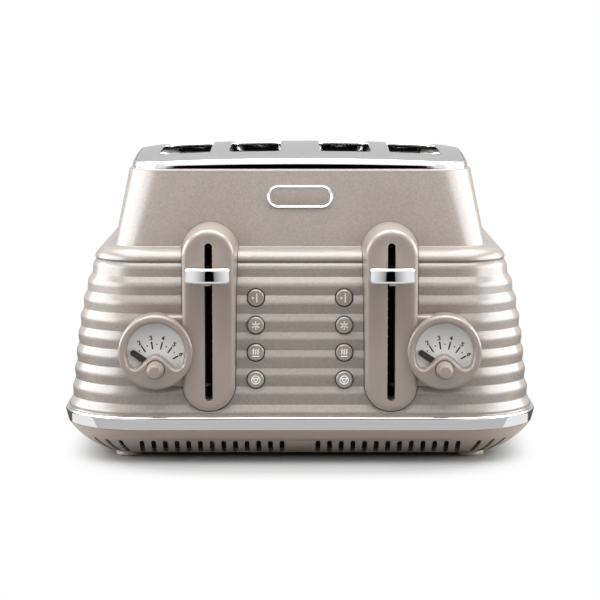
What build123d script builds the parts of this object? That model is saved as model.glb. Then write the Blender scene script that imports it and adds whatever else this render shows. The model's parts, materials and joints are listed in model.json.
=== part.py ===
from build123d import *
import math
import os

os.makedirs("parts", exist_ok=True)

# Four-slot pop-up toaster with a ribbed casing. Millimetres, +Z up, front faces -Y.
# The origin is on the table, at the middle of the whole toaster with its lever handles.
# A setback is a distance behind the front of the chrome band, the widest ring of the casing.
# An inset is a distance inside the outline of that band, the same all the way round.

# Casing plan
casing_width = 345.0
corner_radius = 60.0
handle_reach = 20.0

# Casing heights
foot_height = 4.5
tub_height = 20.0
band_height = 10.0
ribbed_height = 108.7
bead_height = 14.8
shell_height = 52.0

# Casing insets and walls
tub_floor_inset = 28.0
tub_bulge = 2.4
tub_wall = 2.5
tub_ledge = 6.0
band_lean = 2.2
band_thickness = 10.0
band_land = 2.0
band_edge_radius = 1.0
flank_inset = 4.4
flank_lean = 9.0
flank_bell = 9.0
flank_bell_power = 4
flank_flare = 3.0
flank_flare_power = 12
rib_wall = 4.5
shell_foot_inset = 37.7
shell_top_inset = 47.5
bead_bulge = 1.4
shell_wall = 2.5

# Ribs round the body
rib_count = 9
rib_first_rise = 2.9
rib_last_drop = 2.6
rib_slope_height = 6.2
rib_valley_depth = 1.6
rib_nose_radius = 2.0
rib_valley_radius = 0.9

# Top plate, pressed from sheet, crowned both ways
plate_step = 1.6
plate_sheet = 1.2
plate_rim_radius = 1.8
crown_height = 13.2
crown_drop_x = 6.0
crown_drop_y = 6.0
toast_slot_width = 38.0
toast_slot_length = 145.0
toast_slot_setback = 84.0
toast_slot_radius = 6.0
toast_lip_depth = 10.0
slot_spacing = 52.0

# Cooling vents round the tub
vent_width = 3.6
vent_height = 11.0
vent_sill = 0.6
vent_pitch = 8.4
vent_first_x = 12.9
vent_count = 13
side_vent_count = 14
corner_vent_turns = (44.0, 57.0, 70.0)

# Bare badge on the upper shell
badge_width = 48.0
badge_height = 16.7
badge_rim = 2.0
badge_rise = 2.4
badge_plate_rise = 1.4
badge_rise_z = 30.7

# Lever housings and dial pods
lever_offset = 5.5
housing_width = 42.8
housing_height = 135.6
housing_gap = 1.3
housing_face = 0.5
housing_back = 42.0
housing_draft = 3.6
housing_edge_radius = 2.8
housing_wall = 2.5
lever_cavity_width = 24.0
lever_cavity_margin = 4.0
lever_slot_width = 5.4
lever_slot_foot = 10.3
lever_slot_head = 12.3
dial_offset = 37.7
dial_rise = 45.7
pod_radius = 26.5
pod_back = 32.0
pod_draft = 3.0
web_margin = 1.0
web_face = 5.0

# Browning dials
pivot_drop = 12.0
bezel_thickness = 4.0
bezel_edge_radius = 1.0
window_radius = 20.5
window_sill = 10.4
window_corner_radius = 2.6
hump_radius = 9.9
dial_recess_radius = 22.5
dial_recess_depth = 6.0
dial_floor = 2.5
dial_face_sheet = 0.8
dial_face_clearance = 0.2
knob_radius = 6.3
knob_clearance = 0.4
knob_tip_radius = 4.6
knob_straight = 9.0
knob_reach = 18.5
knob_edge_radius = 0.8
dial_shaft_radius = 1.9
shaft_fit = 0.05
shaft_clearance = 0.4
needle_angle = 146.0
needle_length = 21.6
needle_width = 3.9
needle_hub_radius = 4.2
needle_thickness = 1.0
needle_gap = 2.0
pot_size = 16.0
pot_depth = 8.0
pot_cavity_radius = 13.0

# Levers and toast carriages
lever_head = 21.5
lever_drop = 80.0
lever_lift = 14.0
handle_width = 32.0
handle_height = 11.0
handle_gap = 0.9
handle_front_radius = 34.0
handle_edge_radius = 2.2
arm_thickness = 3.0
arm_height = 10.0
arm_socket_depth = 10.0
arm_fit = 0.1
slider_width = 20.0
slider_depth = 14.0
slider_height = 20.0
rod_setback = 52.0
rod_radius = 3.0
rod_fit = 0.06
rod_end = 4.0
crossbar_height = 10.0
crossbar_thickness = 3.0
keeper_length = 14.0
keeper_thickness = 3.0
keeper_depth = 12.0
rack_bar_width = 3.0
rack_bar_height = 6.0
rack_bar_drop = 12.7
rack_finger_width = 14.0
rack_finger_length = 3.0
rack_finger_count = 6
rack_tail = 5.0
rack_slot_clearance = 0.5
rack_end_clearance = 3.0
spring_radius = 5.2
spring_wire = 1.5
magnet_width = 12.0
magnet_gap = 0.5
bracket_width = 18.0
bracket_front = 47.0
bracket_drop = 16.0
bracket_thickness = 2.0

# Push buttons and their board
button_offset = 33.4
button_radius = 6.0
button_clearance = 0.4
button_stand = 1.5
button_rise = 83.0
button_pitch = 19.3
button_names = ("one_side", "defrost", "reheat", "stop")
button_travel = 2.0
button_flange = 1.2
button_flange_thickness = 1.2
button_edge_radius = 0.7
board_setback = 34.0
board_overhang = 11.0
board_thickness = 1.6
board_margin = 11.0
switch_size = 6.0
switch_height = 3.5
switch_gap = 0.3
standoff_radius = 3.0
standoff_x = 14.0
standoff_inset = 6.0

# Steel chassis inside
chassis_rise = 5.5
chassis_sheet = 1.2
chassis_side_inset = 44.5
chassis_front_setback = 40.0
chassis_tail = 12.0
chamber_front = 66.0
chamber_end_gap = 11.0
chamber_rear_room = 60.0
chamber_sheet = 1.5
chamber_side_room = 3.5
chamber_drop = 4.0
crumb_hole_inset = 4.1
crumb_hole_margin = 5.0

# Heaters and self-centring bread guides
heater_board_sheet = 1.0
heater_rise = 10.0
heater_drop = 6.0
heater_side_gap = 22.5
ribbon_height = 2.0
ribbon_thickness = 0.4
ribbon_pitch = 14.0
ribbon_rows = 10
ribbon_length = 150.0
guide_offset = 17.0
guide_closing = 8.0
guide_rod_radius = 1.0
guide_wire_radius = 0.8
guide_rise = 18.0
guide_drop = 6.0
guide_wire_count = 6
guide_tail = 2.0
guide_clearance = 0.3

# Crumb trays, feet, cord gland and screws
tray_middle = 9.9
tray_height = 10.0
tray_clearance = 0.4
tray_lift = 0.3
tray_wall = 1.0
tray_front_setback = 75.0
tray_panel_inset = 28.0
tray_grip_inset = 17.0
tray_grip_radius = 3.2
tray_grip_length = 44.0
foot_radius = 10.0
foot_edge_radius = 1.2
foot_side_inset = 47.8
foot_setback = 46.0
gland_x = 0.0
gland_inset = 46.0
gland_neck_radius = 5.0
gland_flange_radius = 6.5
gland_flange = 2.0
gland_bore_radius = 3.75
post_radius = 5.0
post_side_inset = 54.5
post_setback = 63.0
screw_radius = 1.5
screw_head_radius = 3.0
screw_head_height = 2.2
screw_sink = 0.3
screw_clearance = 0.1

# Places worked out from the sizes above
chamber_back = toast_slot_setback + toast_slot_length + chamber_end_gap
casing_depth = chamber_back + chamber_rear_room
casing_y = handle_reach / 2
front = casing_y - casing_depth / 2
rear = casing_y + casing_depth / 2
tub_top = foot_height + tub_height
band_top = tub_top + band_height
shoulder_z = band_top + ribbed_height
bead_top = shoulder_z + bead_height
shell_top = bead_top + shell_height
crown_z = shell_top + crown_height
floor_top = foot_height + tub_wall
rib_pitch = (ribbed_height - rib_first_rise - rib_last_drop) / (rib_count - 1)
badge_z = bead_top + badge_rise_z
chamber_width = casing_width - 2 * (shell_top_inset + shell_wall + chamber_side_room)
chamber_top = shell_top - chamber_drop
pair_x = chamber_width / 4
toast_slot_y = front + toast_slot_setback + toast_slot_length / 2
toast_slots_x = [side * pair_x + part * slot_spacing / 2 for side in (-1, 1) for part in (-1, 1)]
lever_x = pair_x + lever_offset
housing_bottom = band_top + housing_gap
lever_slot_bottom = housing_bottom + lever_slot_foot
lever_slot_top = housing_bottom + housing_height - lever_slot_head
lever_z = lever_slot_top - lever_head
dial_x = lever_x + dial_offset
dial_z = housing_bottom + dial_rise
pivot_z = dial_z - pivot_drop
dial_recess_floor = housing_face + dial_recess_depth
pod_spread = (pod_back - housing_face) * math.tan(math.radians(pod_draft))
handle_back = housing_face - bezel_thickness - handle_gap
button_x = lever_x - button_offset
board_width = 2 * (button_x + board_overhang)
slider_front = rod_setback - slider_depth / 2
slider_back = rod_setback + slider_depth / 2
bracket_z = chamber_top - bracket_drop
rod_top = bracket_z + rod_end
chassis_z = tub_top + chassis_rise
chassis_top = chassis_z + chassis_sheet
chassis_width = casing_width - 2 * chassis_side_inset
chassis_back_setback = chamber_back + chassis_tail
rack_top = lever_z - rack_bar_drop + rack_bar_height / 2
heater_bottom = chassis_z + heater_rise
heater_top = chamber_top - heater_drop
guide_bottom = chassis_z + guide_rise
guide_top = chamber_top - guide_drop
guide_opening = guide_closing * lever_lift / lever_drop
tray_width = 2 * (pair_x - tray_middle)
crumb_hole_width = tray_width - 2 * crumb_hole_inset
foot_x = casing_width / 2 - foot_side_inset
post_x = casing_width / 2 - post_side_inset
sides = ((-1, "left"), (1, "right"))
button_rows = [housing_bottom + button_rise - row * button_pitch for row in range(len(button_names))]
screw_points = [(x, y) for x in (-post_x, 0, post_x) for y in (front + post_setback, rear - post_setback)]


def inset_at(z):
    """Inset of the rib noses at height z: a bell that leans in at the shoulder and flares at the foot."""
    rise = (z - band_top) / ribbed_height
    lean = flank_lean * rise + flank_bell * rise**flank_bell_power
    return flank_inset + lean - flank_flare * (1 - rise) ** flank_flare_power


def shell_inset_at(z):
    """Inset of the upper shell's straight wall at height z."""
    return shell_foot_inset + (shell_top_inset - shell_foot_inset) * (z - bead_top) / shell_height


def at(inset, z):
    """Point of a casing profile, drawn at the right-hand side of the casing."""
    return (casing_width / 2 - inset, z)


def front_plane(setback):
    """Upright plane that faces the front, at a setback behind the chrome band."""
    return Plane.XZ.offset(-(front + setback))


def casing_outline(inset):
    """Rounded rectangle of the casing at an inset, made inside a sketch."""
    with Locations((0, casing_y)):
        RectangleRounded(casing_width - 2 * inset, casing_depth - 2 * inset, corner_radius - inset)


def midway(start, end, bulge):
    """Point beside the middle of a chord, on its right-hand side when bulge is positive."""
    along = Vector(*end) - Vector(*start)
    beside = Vector(along.Y, -along.X).normalized()
    middle = (Vector(*start) + Vector(*end)) * 0.5 + beside * bulge
    return (middle.X, middle.Y)


profile_plane = Plane.XZ.offset(-casing_y)
with BuildSketch() as outline:
    casing_outline(0)
casing_path = outline.sketch.faces()[0].outer_wire()

# Base tub: a bowl-shaped ring with vents, two crumb tray mouths and a ledge round the floor
tub_foot = at(tub_floor_inset, foot_height)
tub_brim = at(band_lean, tub_top)
tub_mid = midway(tub_foot, tub_brim, tub_bulge)
vent_z = foot_height + vent_sill + vent_height / 2
tray_mouth_height = tray_height + tray_lift + 2 * tray_clearance

with BuildPart() as tub_bowl:
    with BuildSketch(profile_plane):
        with BuildLine():
            ThreePointArc(tub_foot, tub_mid, tub_brim)
            Polyline(
                tub_brim,
                at(tub_floor_inset + tub_wall, tub_top),
                at(tub_floor_inset + tub_wall, foot_height),
                tub_foot,
            )
        make_face()
    sweep(path=casing_path)
    with BuildSketch(Plane.XY.offset(foot_height)):
        casing_outline(tub_floor_inset)
    extrude(amount=tub_height)

with BuildPart() as base_tub:
    with BuildSketch(profile_plane):
        with BuildLine():
            ThreePointArc(tub_foot, tub_mid, tub_brim)
            Line(tub_brim, at(band_lean + tub_wall, tub_top))
            ThreePointArc(
                at(band_lean + tub_wall, tub_top),
                (tub_mid[0] - tub_wall, tub_mid[1]),
                at(tub_floor_inset + tub_wall, foot_height),
            )
            Line(at(tub_floor_inset + tub_wall, foot_height), tub_foot)
        make_face()
    sweep(path=casing_path)
    with BuildSketch(Plane.XY.offset(foot_height)):
        casing_outline(tub_floor_inset)
    extrude(amount=tub_wall)
    with BuildSketch(Plane.XY.offset(foot_height)):
        casing_outline(tub_floor_inset + tub_ledge)
    extrude(amount=tub_wall, mode=Mode.SUBTRACT)
    with BuildSketch(front_plane(tub_floor_inset + tub_wall)):
        for side, _ in sides:
            for step in range(vent_count):
                with Locations((side * (vent_first_x + step * vent_pitch), vent_z)):
                    SlotOverall(vent_height, vent_width, rotation=90)
    extrude(amount=tub_floor_inset + tub_wall, mode=Mode.SUBTRACT)
    for side, _ in sides:
        with BuildSketch(Plane.YZ.offset(side * (casing_width / 2 - tub_floor_inset - tub_wall))):
            for step in range(side_vent_count):
                with Locations((casing_y + (step - (side_vent_count - 1) / 2) * vent_pitch, vent_z)):
                    SlotOverall(vent_height, vent_width, rotation=90)
        extrude(amount=side * (tub_floor_inset + tub_wall), mode=Mode.SUBTRACT)
        for turn in corner_vent_turns:
            corner = Plane(
                origin=(side * (casing_width / 2 - corner_radius), front + corner_radius, vent_z),
                x_dir=Vector(0, 0, 1),
                z_dir=Vector(side, 0, 0).rotate(Axis.Z, -side * turn),
            )
            with BuildSketch(corner.offset(corner_radius - tub_floor_inset - tub_wall)):
                SlotOverall(vent_height, vent_width)
            extrude(amount=tub_floor_inset + tub_wall, mode=Mode.SUBTRACT)
        with BuildSketch(Plane.XY.offset(floor_top)):
            with Locations((side * pair_x, rear - tub_floor_inset)):
                Rectangle(tray_width + 2 * tray_clearance, 2 * tub_floor_inset)
        extrude(amount=tray_mouth_height, mode=Mode.SUBTRACT)
base_tub.part.label = "base_tub"
export_step(base_tub.part, "parts/base_tub.step")

# Base floor: a flat plate set into the tub's ledge, with chassis posts and a hole for the cord gland
with BuildPart() as base_floor:
    with BuildSketch(Plane.XY.offset(foot_height)):
        casing_outline(tub_floor_inset + tub_ledge)
    extrude(amount=tub_wall)
    with BuildSketch(Plane.XY.offset(foot_height)):
        with Locations(*screw_points):
            Circle(post_radius)
    extrude(amount=chassis_z - foot_height)
    with BuildSketch(Plane.XY.offset(foot_height)):
        with Locations(*screw_points):
            Circle(screw_radius + screw_clearance)
    extrude(amount=chassis_z - foot_height, mode=Mode.SUBTRACT)
    with BuildSketch(Plane.XY.offset(foot_height)):
        with Locations(*screw_points):
            Circle(screw_head_radius + screw_clearance)
    extrude(amount=screw_head_height + screw_sink, mode=Mode.SUBTRACT)
    with BuildSketch(Plane.XY.offset(foot_height)):
        with Locations((gland_x, rear - gland_inset)):
            Circle(gland_neck_radius)
    extrude(amount=tub_wall, mode=Mode.SUBTRACT)
base_floor.part.label = "base_floor"
export_step(base_floor.part, "parts/base_floor.step")

# Four turned feet under the tub floor
with BuildPart() as feet:
    with BuildSketch(Plane.XY):
        for y in (front + foot_setback, rear - foot_setback):
            with Locations((-foot_x, y), (foot_x, y)):
                Circle(foot_radius)
    extrude(amount=foot_height)
    fillet(feet.edges().group_by(Axis.Z)[0], foot_edge_radius)
feet.part.label = "feet"
export_step(feet.part, "parts/feet.step")

# Chrome band: one ring that leans in towards the tub
with BuildPart() as chrome_band:
    with BuildSketch(profile_plane) as band_profile:
        with BuildLine():
            Polyline(
                at(band_lean, tub_top),
                at(0, band_top - band_land),
                at(0, band_top),
                at(band_thickness, band_top),
                at(band_thickness, tub_top),
                close=True,
            )
        make_face()
        land_corners = band_profile.vertices().sort_by(Axis.X)[-2:]
        fillet(land_corners.sort_by(Axis.Y)[-1], band_edge_radius)
    sweep(path=casing_path)
chrome_band.part.label = "chrome_band"
export_step(chrome_band.part, "parts/chrome_band.step")


def housing_block(side):
    """Outside of one lever housing with its dial pod, filled solid."""
    with BuildPart() as block:
        with BuildSketch(front_plane(housing_back)):
            with Locations((side * lever_x, housing_bottom + housing_height / 2)):
                SlotOverall(housing_height, housing_width, rotation=90)
        extrude(amount=housing_back - housing_face, taper=housing_draft)
        fillet(block.faces().sort_by(Axis.Y)[0].edges(), housing_edge_radius)
        with BuildSketch(front_plane(pod_back)):
            with Locations((side * dial_x, dial_z)):
                Circle(pod_radius + pod_spread)
        extrude(amount=pod_back - housing_face, taper=pod_draft)
        with BuildSketch(front_plane(pod_back)):
            with Locations((side * (dial_x + lever_x) / 2, dial_z)):
                Rectangle(dial_offset, 2 * (pod_radius + pod_spread - web_margin))
        extrude(amount=pod_back - web_face, taper=pod_draft)
    return block.part


housing_blocks = {name: housing_block(side) for side, name in sides}

# Ribbed body: slopes, rounded noses and crisp valleys on a bell-shaped flank
rib_points = [at(inset_at(band_top) + rib_valley_depth, band_top)]
rib_radii = []
for rib in range(rib_count):
    nose_z = band_top + rib_first_rise + rib * rib_pitch
    if rib > 0:
        valley_z = nose_z - rib_pitch + rib_slope_height
        rib_points.append(at(inset_at(valley_z) + rib_valley_depth, valley_z))
        rib_radii.append(rib_valley_radius)
    rib_points.append(at(inset_at(nose_z), nose_z))
    rib_radii.append(rib_nose_radius)
shoulder_inset = inset_at(shoulder_z)
rib_points.append(at(shoulder_inset, shoulder_z))
inner_heights = [shoulder_z - step * ribbed_height / rib_count for step in range(rib_count + 1)]
inner_wall = [at(inset_at(z) + rib_wall, z) for z in inner_heights]

with BuildPart() as ribbed_body:
    with BuildSketch(profile_plane):
        with BuildLine():
            FilletPolyline(*rib_points, radius=rib_radii)
            Polyline(rib_points[-1], *inner_wall, rib_points[0])
        make_face()
    sweep(path=casing_path)
    for block in housing_blocks.values():
        add(block, mode=Mode.SUBTRACT)
    with BuildSketch(front_plane(board_setback)):
        for side, _ in sides:
            for row_z in button_rows:
                with Locations((side * button_x, row_z)):
                    Circle(button_radius + button_clearance)
    extrude(amount=board_setback, mode=Mode.SUBTRACT)
ribbed_body.part.label = "ribbed_body"
export_step(ribbed_body.part, "parts/ribbed_body.step")

# Upper shell: a rounded shoulder bead and a tapered wall
bead_start = at(shoulder_inset, shoulder_z)
bead_end = at(shell_foot_inset, bead_top)
bead_mid = midway(bead_start, bead_end, bead_bulge)
inner_start = at(shoulder_inset + rib_wall, shoulder_z)
inner_end = at(shell_foot_inset + shell_wall, bead_top - shell_wall / 2)
with BuildPart() as upper_shell:
    with BuildSketch(profile_plane):
        with BuildLine():
            ThreePointArc(bead_start, bead_mid, bead_end)
            Polyline(
                bead_end,
                at(shell_top_inset, shell_top),
                at(shell_top_inset + shell_wall, shell_top),
                inner_end,
            )
            ThreePointArc(inner_end, midway(inner_end, inner_start, -bead_bulge), inner_start)
            Line(inner_start, bead_start)
        make_face()
    sweep(path=casing_path)
    for block in housing_blocks.values():
        add(block, mode=Mode.SUBTRACT)
upper_shell.part.label = "upper_shell"
export_step(upper_shell.part, "parts/upper_shell.step")

# Bare badge: a chrome frame round a painted plate, on the slope of the upper shell
badge_tilt = Vector(0, shell_inset_at(shell_top) - shell_inset_at(bead_top), shell_height).normalized()
badge_plane = Plane(
    origin=(0, front + shell_inset_at(badge_z), badge_z),
    x_dir=(1, 0, 0),
    z_dir=Vector(1, 0, 0).cross(badge_tilt),
)
with BuildPart() as badge_frame:
    with BuildSketch(badge_plane):
        SlotOverall(badge_width, badge_height)
        SlotOverall(badge_width - 2 * badge_rim, badge_height - 2 * badge_rim, mode=Mode.SUBTRACT)
    extrude(amount=badge_rise)
    fillet(badge_frame.faces().sort_by(Axis.Y)[0].edges(), badge_rim / 3)
badge_frame.part.label = "badge_frame"
export_step(badge_frame.part, "parts/badge_frame.step")

with BuildPart() as badge_plate:
    with BuildSketch(badge_plane):
        SlotOverall(badge_width - 2 * badge_rim, badge_height - 2 * badge_rim)
    extrude(amount=badge_plate_rise)
badge_plate.part.label = "badge_plate"
export_step(badge_plate.part, "parts/badge_plate.step")

# Top plate: crowned sheet with a turned-down rim and four lipped toast slots
plate_inset = shell_top_inset + plate_step
plate_half_width = casing_width / 2 - plate_inset
plate_half_depth = casing_depth / 2 - plate_inset
crown_radius_y = plate_half_depth**2 / (2 * crown_drop_y)


def crown_solid(top_z):
    """Ring-shaped solid whose upper side, near the middle, is the crown of the top plate."""
    with BuildPart() as crown:
        with BuildSketch(profile_plane):
            with BuildLine():
                left = (-plate_half_width, top_z - crown_drop_x)
                right = (plate_half_width, top_z - crown_drop_x)
                ThreePointArc(left, (0, top_z), right)
                Polyline(
                    right,
                    (plate_half_width, shell_top - crown_height),
                    (-plate_half_width, shell_top - crown_height),
                    left,
                )
            make_face()
        revolve(axis=Axis((0, casing_y, top_z - crown_radius_y), (1, 0, 0)))
    return crown.part


with BuildPart() as plate_inside:
    with BuildSketch(Plane.XY.offset(shell_top)):
        casing_outline(plate_inset + plate_sheet)
    extrude(amount=crown_height)
    add(crown_solid(crown_z - plate_sheet), mode=Mode.INTERSECT)

with BuildPart() as slot_lips:
    with BuildSketch(Plane.XY.offset(crown_z - crown_drop_x - toast_lip_depth)):
        with Locations(*[(x, toast_slot_y) for x in toast_slots_x]):
            RectangleRounded(
                toast_slot_width + 2 * plate_sheet,
                toast_slot_length + 2 * plate_sheet,
                toast_slot_radius + plate_sheet,
            )
    extrude(amount=crown_height + toast_lip_depth)
    add(crown_solid(crown_z), mode=Mode.INTERSECT)

with BuildPart() as top_plate:
    with BuildSketch(Plane.XY.offset(shell_top)):
        casing_outline(plate_inset)
    extrude(amount=crown_height)
    add(crown_solid(crown_z), mode=Mode.INTERSECT)
    rim_edges = top_plate.faces().sort_by(Axis.Z)[-1].edges()
    fillet(rim_edges, plate_rim_radius)
    add(plate_inside.part, mode=Mode.SUBTRACT)
    add(slot_lips.part)
    with BuildSketch(Plane.XY.offset(crown_z - crown_drop_x - toast_lip_depth)):
        with Locations(*[(x, toast_slot_y) for x in toast_slots_x]):
            RectangleRounded(toast_slot_width, toast_slot_length, toast_slot_radius)
    extrude(amount=crown_height + toast_lip_depth, mode=Mode.SUBTRACT)
top_plate.part.label = "top_plate"
export_step(top_plate.part, "parts/top_plate.step")

# Lever housings: hollow behind, slotted for the lever, recessed for the dial
for side, name in sides:
    with BuildPart() as lever_housing:
        add(housing_blocks[name])
        slot_middle = (side * lever_x, (lever_slot_bottom + lever_slot_top) / 2)
        slot_height = lever_slot_top - lever_slot_bottom
        with BuildSketch(front_plane(housing_back)):
            with Locations(slot_middle):
                SlotOverall(slot_height + 2 * lever_cavity_margin, lever_cavity_width, rotation=90)
        extrude(amount=housing_back - housing_face - housing_wall, mode=Mode.SUBTRACT)
        with BuildSketch(front_plane(housing_back)):
            with Locations(slot_middle):
                SlotOverall(slot_height, lever_slot_width, rotation=90)
        extrude(amount=housing_back, mode=Mode.SUBTRACT)
        with BuildSketch(front_plane(dial_recess_floor)):
            with Locations((side * dial_x, dial_z)):
                Circle(dial_recess_radius)
        extrude(amount=dial_recess_depth, mode=Mode.SUBTRACT)
        with BuildSketch(front_plane(pod_back)):
            with Locations((side * dial_x, pivot_z)):
                Circle(pot_cavity_radius)
        extrude(amount=pod_back - dial_recess_floor - dial_floor, mode=Mode.SUBTRACT)
        with BuildSketch(front_plane(pod_back)):
            with Locations((side * dial_x, pivot_z)):
                Circle(dial_shaft_radius + shaft_clearance)
        extrude(amount=pod_back, mode=Mode.SUBTRACT)
    lever_housing.part.label = f"lever_housing_{name}"
    export_step(lever_housing.part, f"parts/lever_housing_{name}.step")

# Dial bezels: a ring whose window has a hump over the knob
for side, name in sides:
    with BuildPart() as dial_bezel:
        with BuildSketch(front_plane(housing_face)):
            with Locations((side * dial_x, dial_z)):
                Circle(pod_radius)
            with BuildSketch(front_plane(housing_face), mode=Mode.PRIVATE) as window:
                with Locations((side * dial_x, dial_z)):
                    Circle(window_radius)
                    with Locations((0, -window_sill - window_radius / 2)):
                        Rectangle(2 * window_radius, window_radius, mode=Mode.SUBTRACT)
                    with Locations((0, -pivot_drop)):
                        Circle(hump_radius, mode=Mode.SUBTRACT)
                fillet(window.vertices(), window_corner_radius)
            add(window.sketch, mode=Mode.SUBTRACT)
            with Locations((side * dial_x, pivot_z)):
                Circle(knob_radius + knob_clearance, mode=Mode.SUBTRACT)
        extrude(amount=bezel_thickness)
        fillet(dial_bezel.faces().sort_by(Axis.Y)[0].edges(), bezel_edge_radius)
    dial_bezel.part.label = f"dial_bezel_{name}"
    export_step(dial_bezel.part, f"parts/dial_bezel_{name}.step")

# Dial faces, on the floor of the recess
for side, name in sides:
    with BuildPart() as dial_face:
        with BuildSketch(front_plane(dial_recess_floor)):
            with Locations((side * dial_x, dial_z)):
                Circle(dial_recess_radius - dial_face_clearance)
            with Locations((side * dial_x, pivot_z)):
                Circle(dial_shaft_radius + shaft_clearance, mode=Mode.SUBTRACT)
        extrude(amount=dial_face_sheet)
    dial_face.part.label = f"dial_face_{name}"
    export_step(dial_face.part, f"parts/dial_face_{name}.step")

# Needles on the dial shafts, at the lowest setting
needle_back = dial_recess_floor - dial_face_sheet - needle_gap + needle_thickness
for side, name in sides:
    with BuildPart() as dial_needle:
        with BuildSketch(front_plane(needle_back)):
            with Locations((side * dial_x, pivot_z)):
                Circle(needle_hub_radius)
                with Locations(Location((0, 0), needle_angle)):
                    with Locations((needle_length / 2 - needle_width / 4, 0)):
                        SlotOverall(needle_length + needle_width / 2, needle_width)
                Circle(dial_shaft_radius + shaft_fit, mode=Mode.SUBTRACT)
        extrude(amount=needle_thickness)
    dial_needle.part.label = f"dial_needle_{name}"
    export_step(dial_needle.part, f"parts/dial_needle_{name}.step")

# Dial knobs with their shafts
pot_front = dial_recess_floor + dial_floor
for side, name in sides:
    knob_centre = (side * dial_x, pivot_z)
    with BuildPart() as dial_knob:
        with BuildSketch(front_plane(housing_face)):
            with Locations(knob_centre):
                Circle(knob_radius)
        extrude(amount=knob_straight)
        with BuildSketch(front_plane(housing_face - knob_straight)):
            with Locations(knob_centre):
                Circle(knob_radius)
        with BuildSketch(front_plane(housing_face - knob_reach)):
            with Locations(knob_centre):
                Circle(knob_tip_radius)
        loft()
        fillet(dial_knob.faces().sort_by(Axis.Y)[0].edges(), knob_edge_radius)
        with BuildSketch(front_plane(housing_face)):
            with Locations(knob_centre):
                Circle(dial_shaft_radius)
        extrude(amount=-(pot_front + pot_depth - housing_face))
    dial_knob.part.label = f"dial_knob_{name}"
    export_step(dial_knob.part, f"parts/dial_knob_{name}.step")

# Browning controls behind the dials, bored for the shafts
with BuildPart() as dial_controls:
    for side, _ in sides:
        with BuildSketch(front_plane(pot_front)):
            with Locations((side * dial_x, pivot_z)):
                RectangleRounded(pot_size, pot_size, shaft_clearance)
                Circle(dial_shaft_radius + shaft_fit, mode=Mode.SUBTRACT)
        extrude(amount=-pot_depth)
dial_controls.part.label = "dial_controls"
export_step(dial_controls.part, "parts/dial_controls.step")

# Lever handles: a bar with a bowed front and a socket for the arm
for side, name in sides:
    with BuildPart() as lever_handle:
        with BuildSketch(Plane.XY.offset(lever_z - handle_height / 2)):
            back_y = front + handle_back
            front_y = front - handle_reach
            bow = handle_front_radius - (handle_front_radius**2 - handle_width**2 / 4) ** 0.5
            with BuildLine():
                near = (side * lever_x - handle_width / 2, front_y + bow)
                far = (side * lever_x + handle_width / 2, front_y + bow)
                ThreePointArc(near, (side * lever_x, front_y), far)
                Polyline(far, (far[0], back_y), (near[0], back_y), near)
            make_face()
        extrude(amount=handle_height)
        fillet(lever_handle.edges().filter_by(Axis.Z), handle_edge_radius)
        fillet(lever_handle.faces().group_by(Axis.Z)[-1].edges(), handle_edge_radius / 2)
        fillet(lever_handle.faces().group_by(Axis.Z)[0].edges(), handle_edge_radius / 2)
        with BuildSketch(front_plane(handle_back)):
            with Locations((side * lever_x, lever_z)):
                Rectangle(arm_thickness + 2 * arm_fit, arm_height + 2 * arm_fit)
        extrude(amount=arm_socket_depth, mode=Mode.SUBTRACT)
    lever_handle.part.label = f"lever_handle_{name}"
    export_step(lever_handle.part, f"parts/lever_handle_{name}.step")

# Lever arms, from the handle's socket to the carriage slider
for side, name in sides:
    with BuildPart() as lever_arm:
        with BuildSketch(front_plane(slider_front)):
            with Locations((side * lever_x, lever_z)):
                Rectangle(arm_thickness, arm_height)
        extrude(amount=slider_front - handle_back + arm_socket_depth)
    lever_arm.part.label = f"lever_arm_{name}"
    export_step(lever_arm.part, f"parts/lever_arm_{name}.step")

# Carriages: a slider on the guide rod, a crossbar to both toast slots and a keeper for the magnet
slider_bottom = lever_z - slider_height / 2
crossbar_z = lever_z - rack_bar_drop
keeper_x = pair_x - slider_width / 2 - keeper_length / 2
for side, name in sides:
    with BuildPart() as carriage:
        with BuildSketch(Plane.XY.offset(slider_bottom)):
            with Locations((side * pair_x, front + rod_setback)):
                Rectangle(slider_width, slider_depth)
        extrude(amount=slider_height)
        with BuildSketch(front_plane(slider_back)):
            with Locations((side * pair_x, crossbar_z)):
                Rectangle(slot_spacing + rack_bar_width, crossbar_height)
            with Locations((side * pair_x, lever_z)):
                Rectangle(slider_width, slider_height)
        extrude(amount=-crossbar_thickness)
        with BuildSketch(Plane.XY.offset(lever_z)):
            with Locations((side * keeper_x, front + rod_setback)):
                Rectangle(keeper_length, keeper_depth)
        extrude(amount=keeper_thickness)
        with BuildSketch(Plane.XY.offset(slider_bottom)):
            with Locations((side * pair_x, front + rod_setback)):
                Circle(rod_radius + rod_fit)
        extrude(amount=slider_height, mode=Mode.SUBTRACT)
    carriage.part.label = f"carriage_{name}"
    export_step(carriage.part, f"parts/carriage_{name}.step")

# Bread racks: two bars on each crossbar, with fingers that carry the slices
rack_start = slider_back + crossbar_thickness
rack_end = chamber_back + chamber_sheet + rack_tail
for side, name in sides:
    with BuildPart() as bread_racks:
        for part in (-1, 1):
            rack_x = side * pair_x + part * slot_spacing / 2
            with BuildSketch(front_plane(rack_start)):
                with Locations((rack_x, crossbar_z)):
                    Rectangle(rack_bar_width, rack_bar_height)
            extrude(amount=-(rack_end - rack_start))
            with BuildSketch(Plane.XY.offset(rack_top)):
                for finger in range(rack_finger_count):
                    finger_y = (finger + 0.5) * toast_slot_length / rack_finger_count
                    with Locations((rack_x, front + toast_slot_setback + finger_y)):
                        Rectangle(rack_finger_width, rack_finger_length)
            extrude(amount=-rack_finger_length)
    bread_racks.part.label = f"bread_racks_{name}"
    export_step(bread_racks.part, f"parts/bread_racks_{name}.step")

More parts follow.
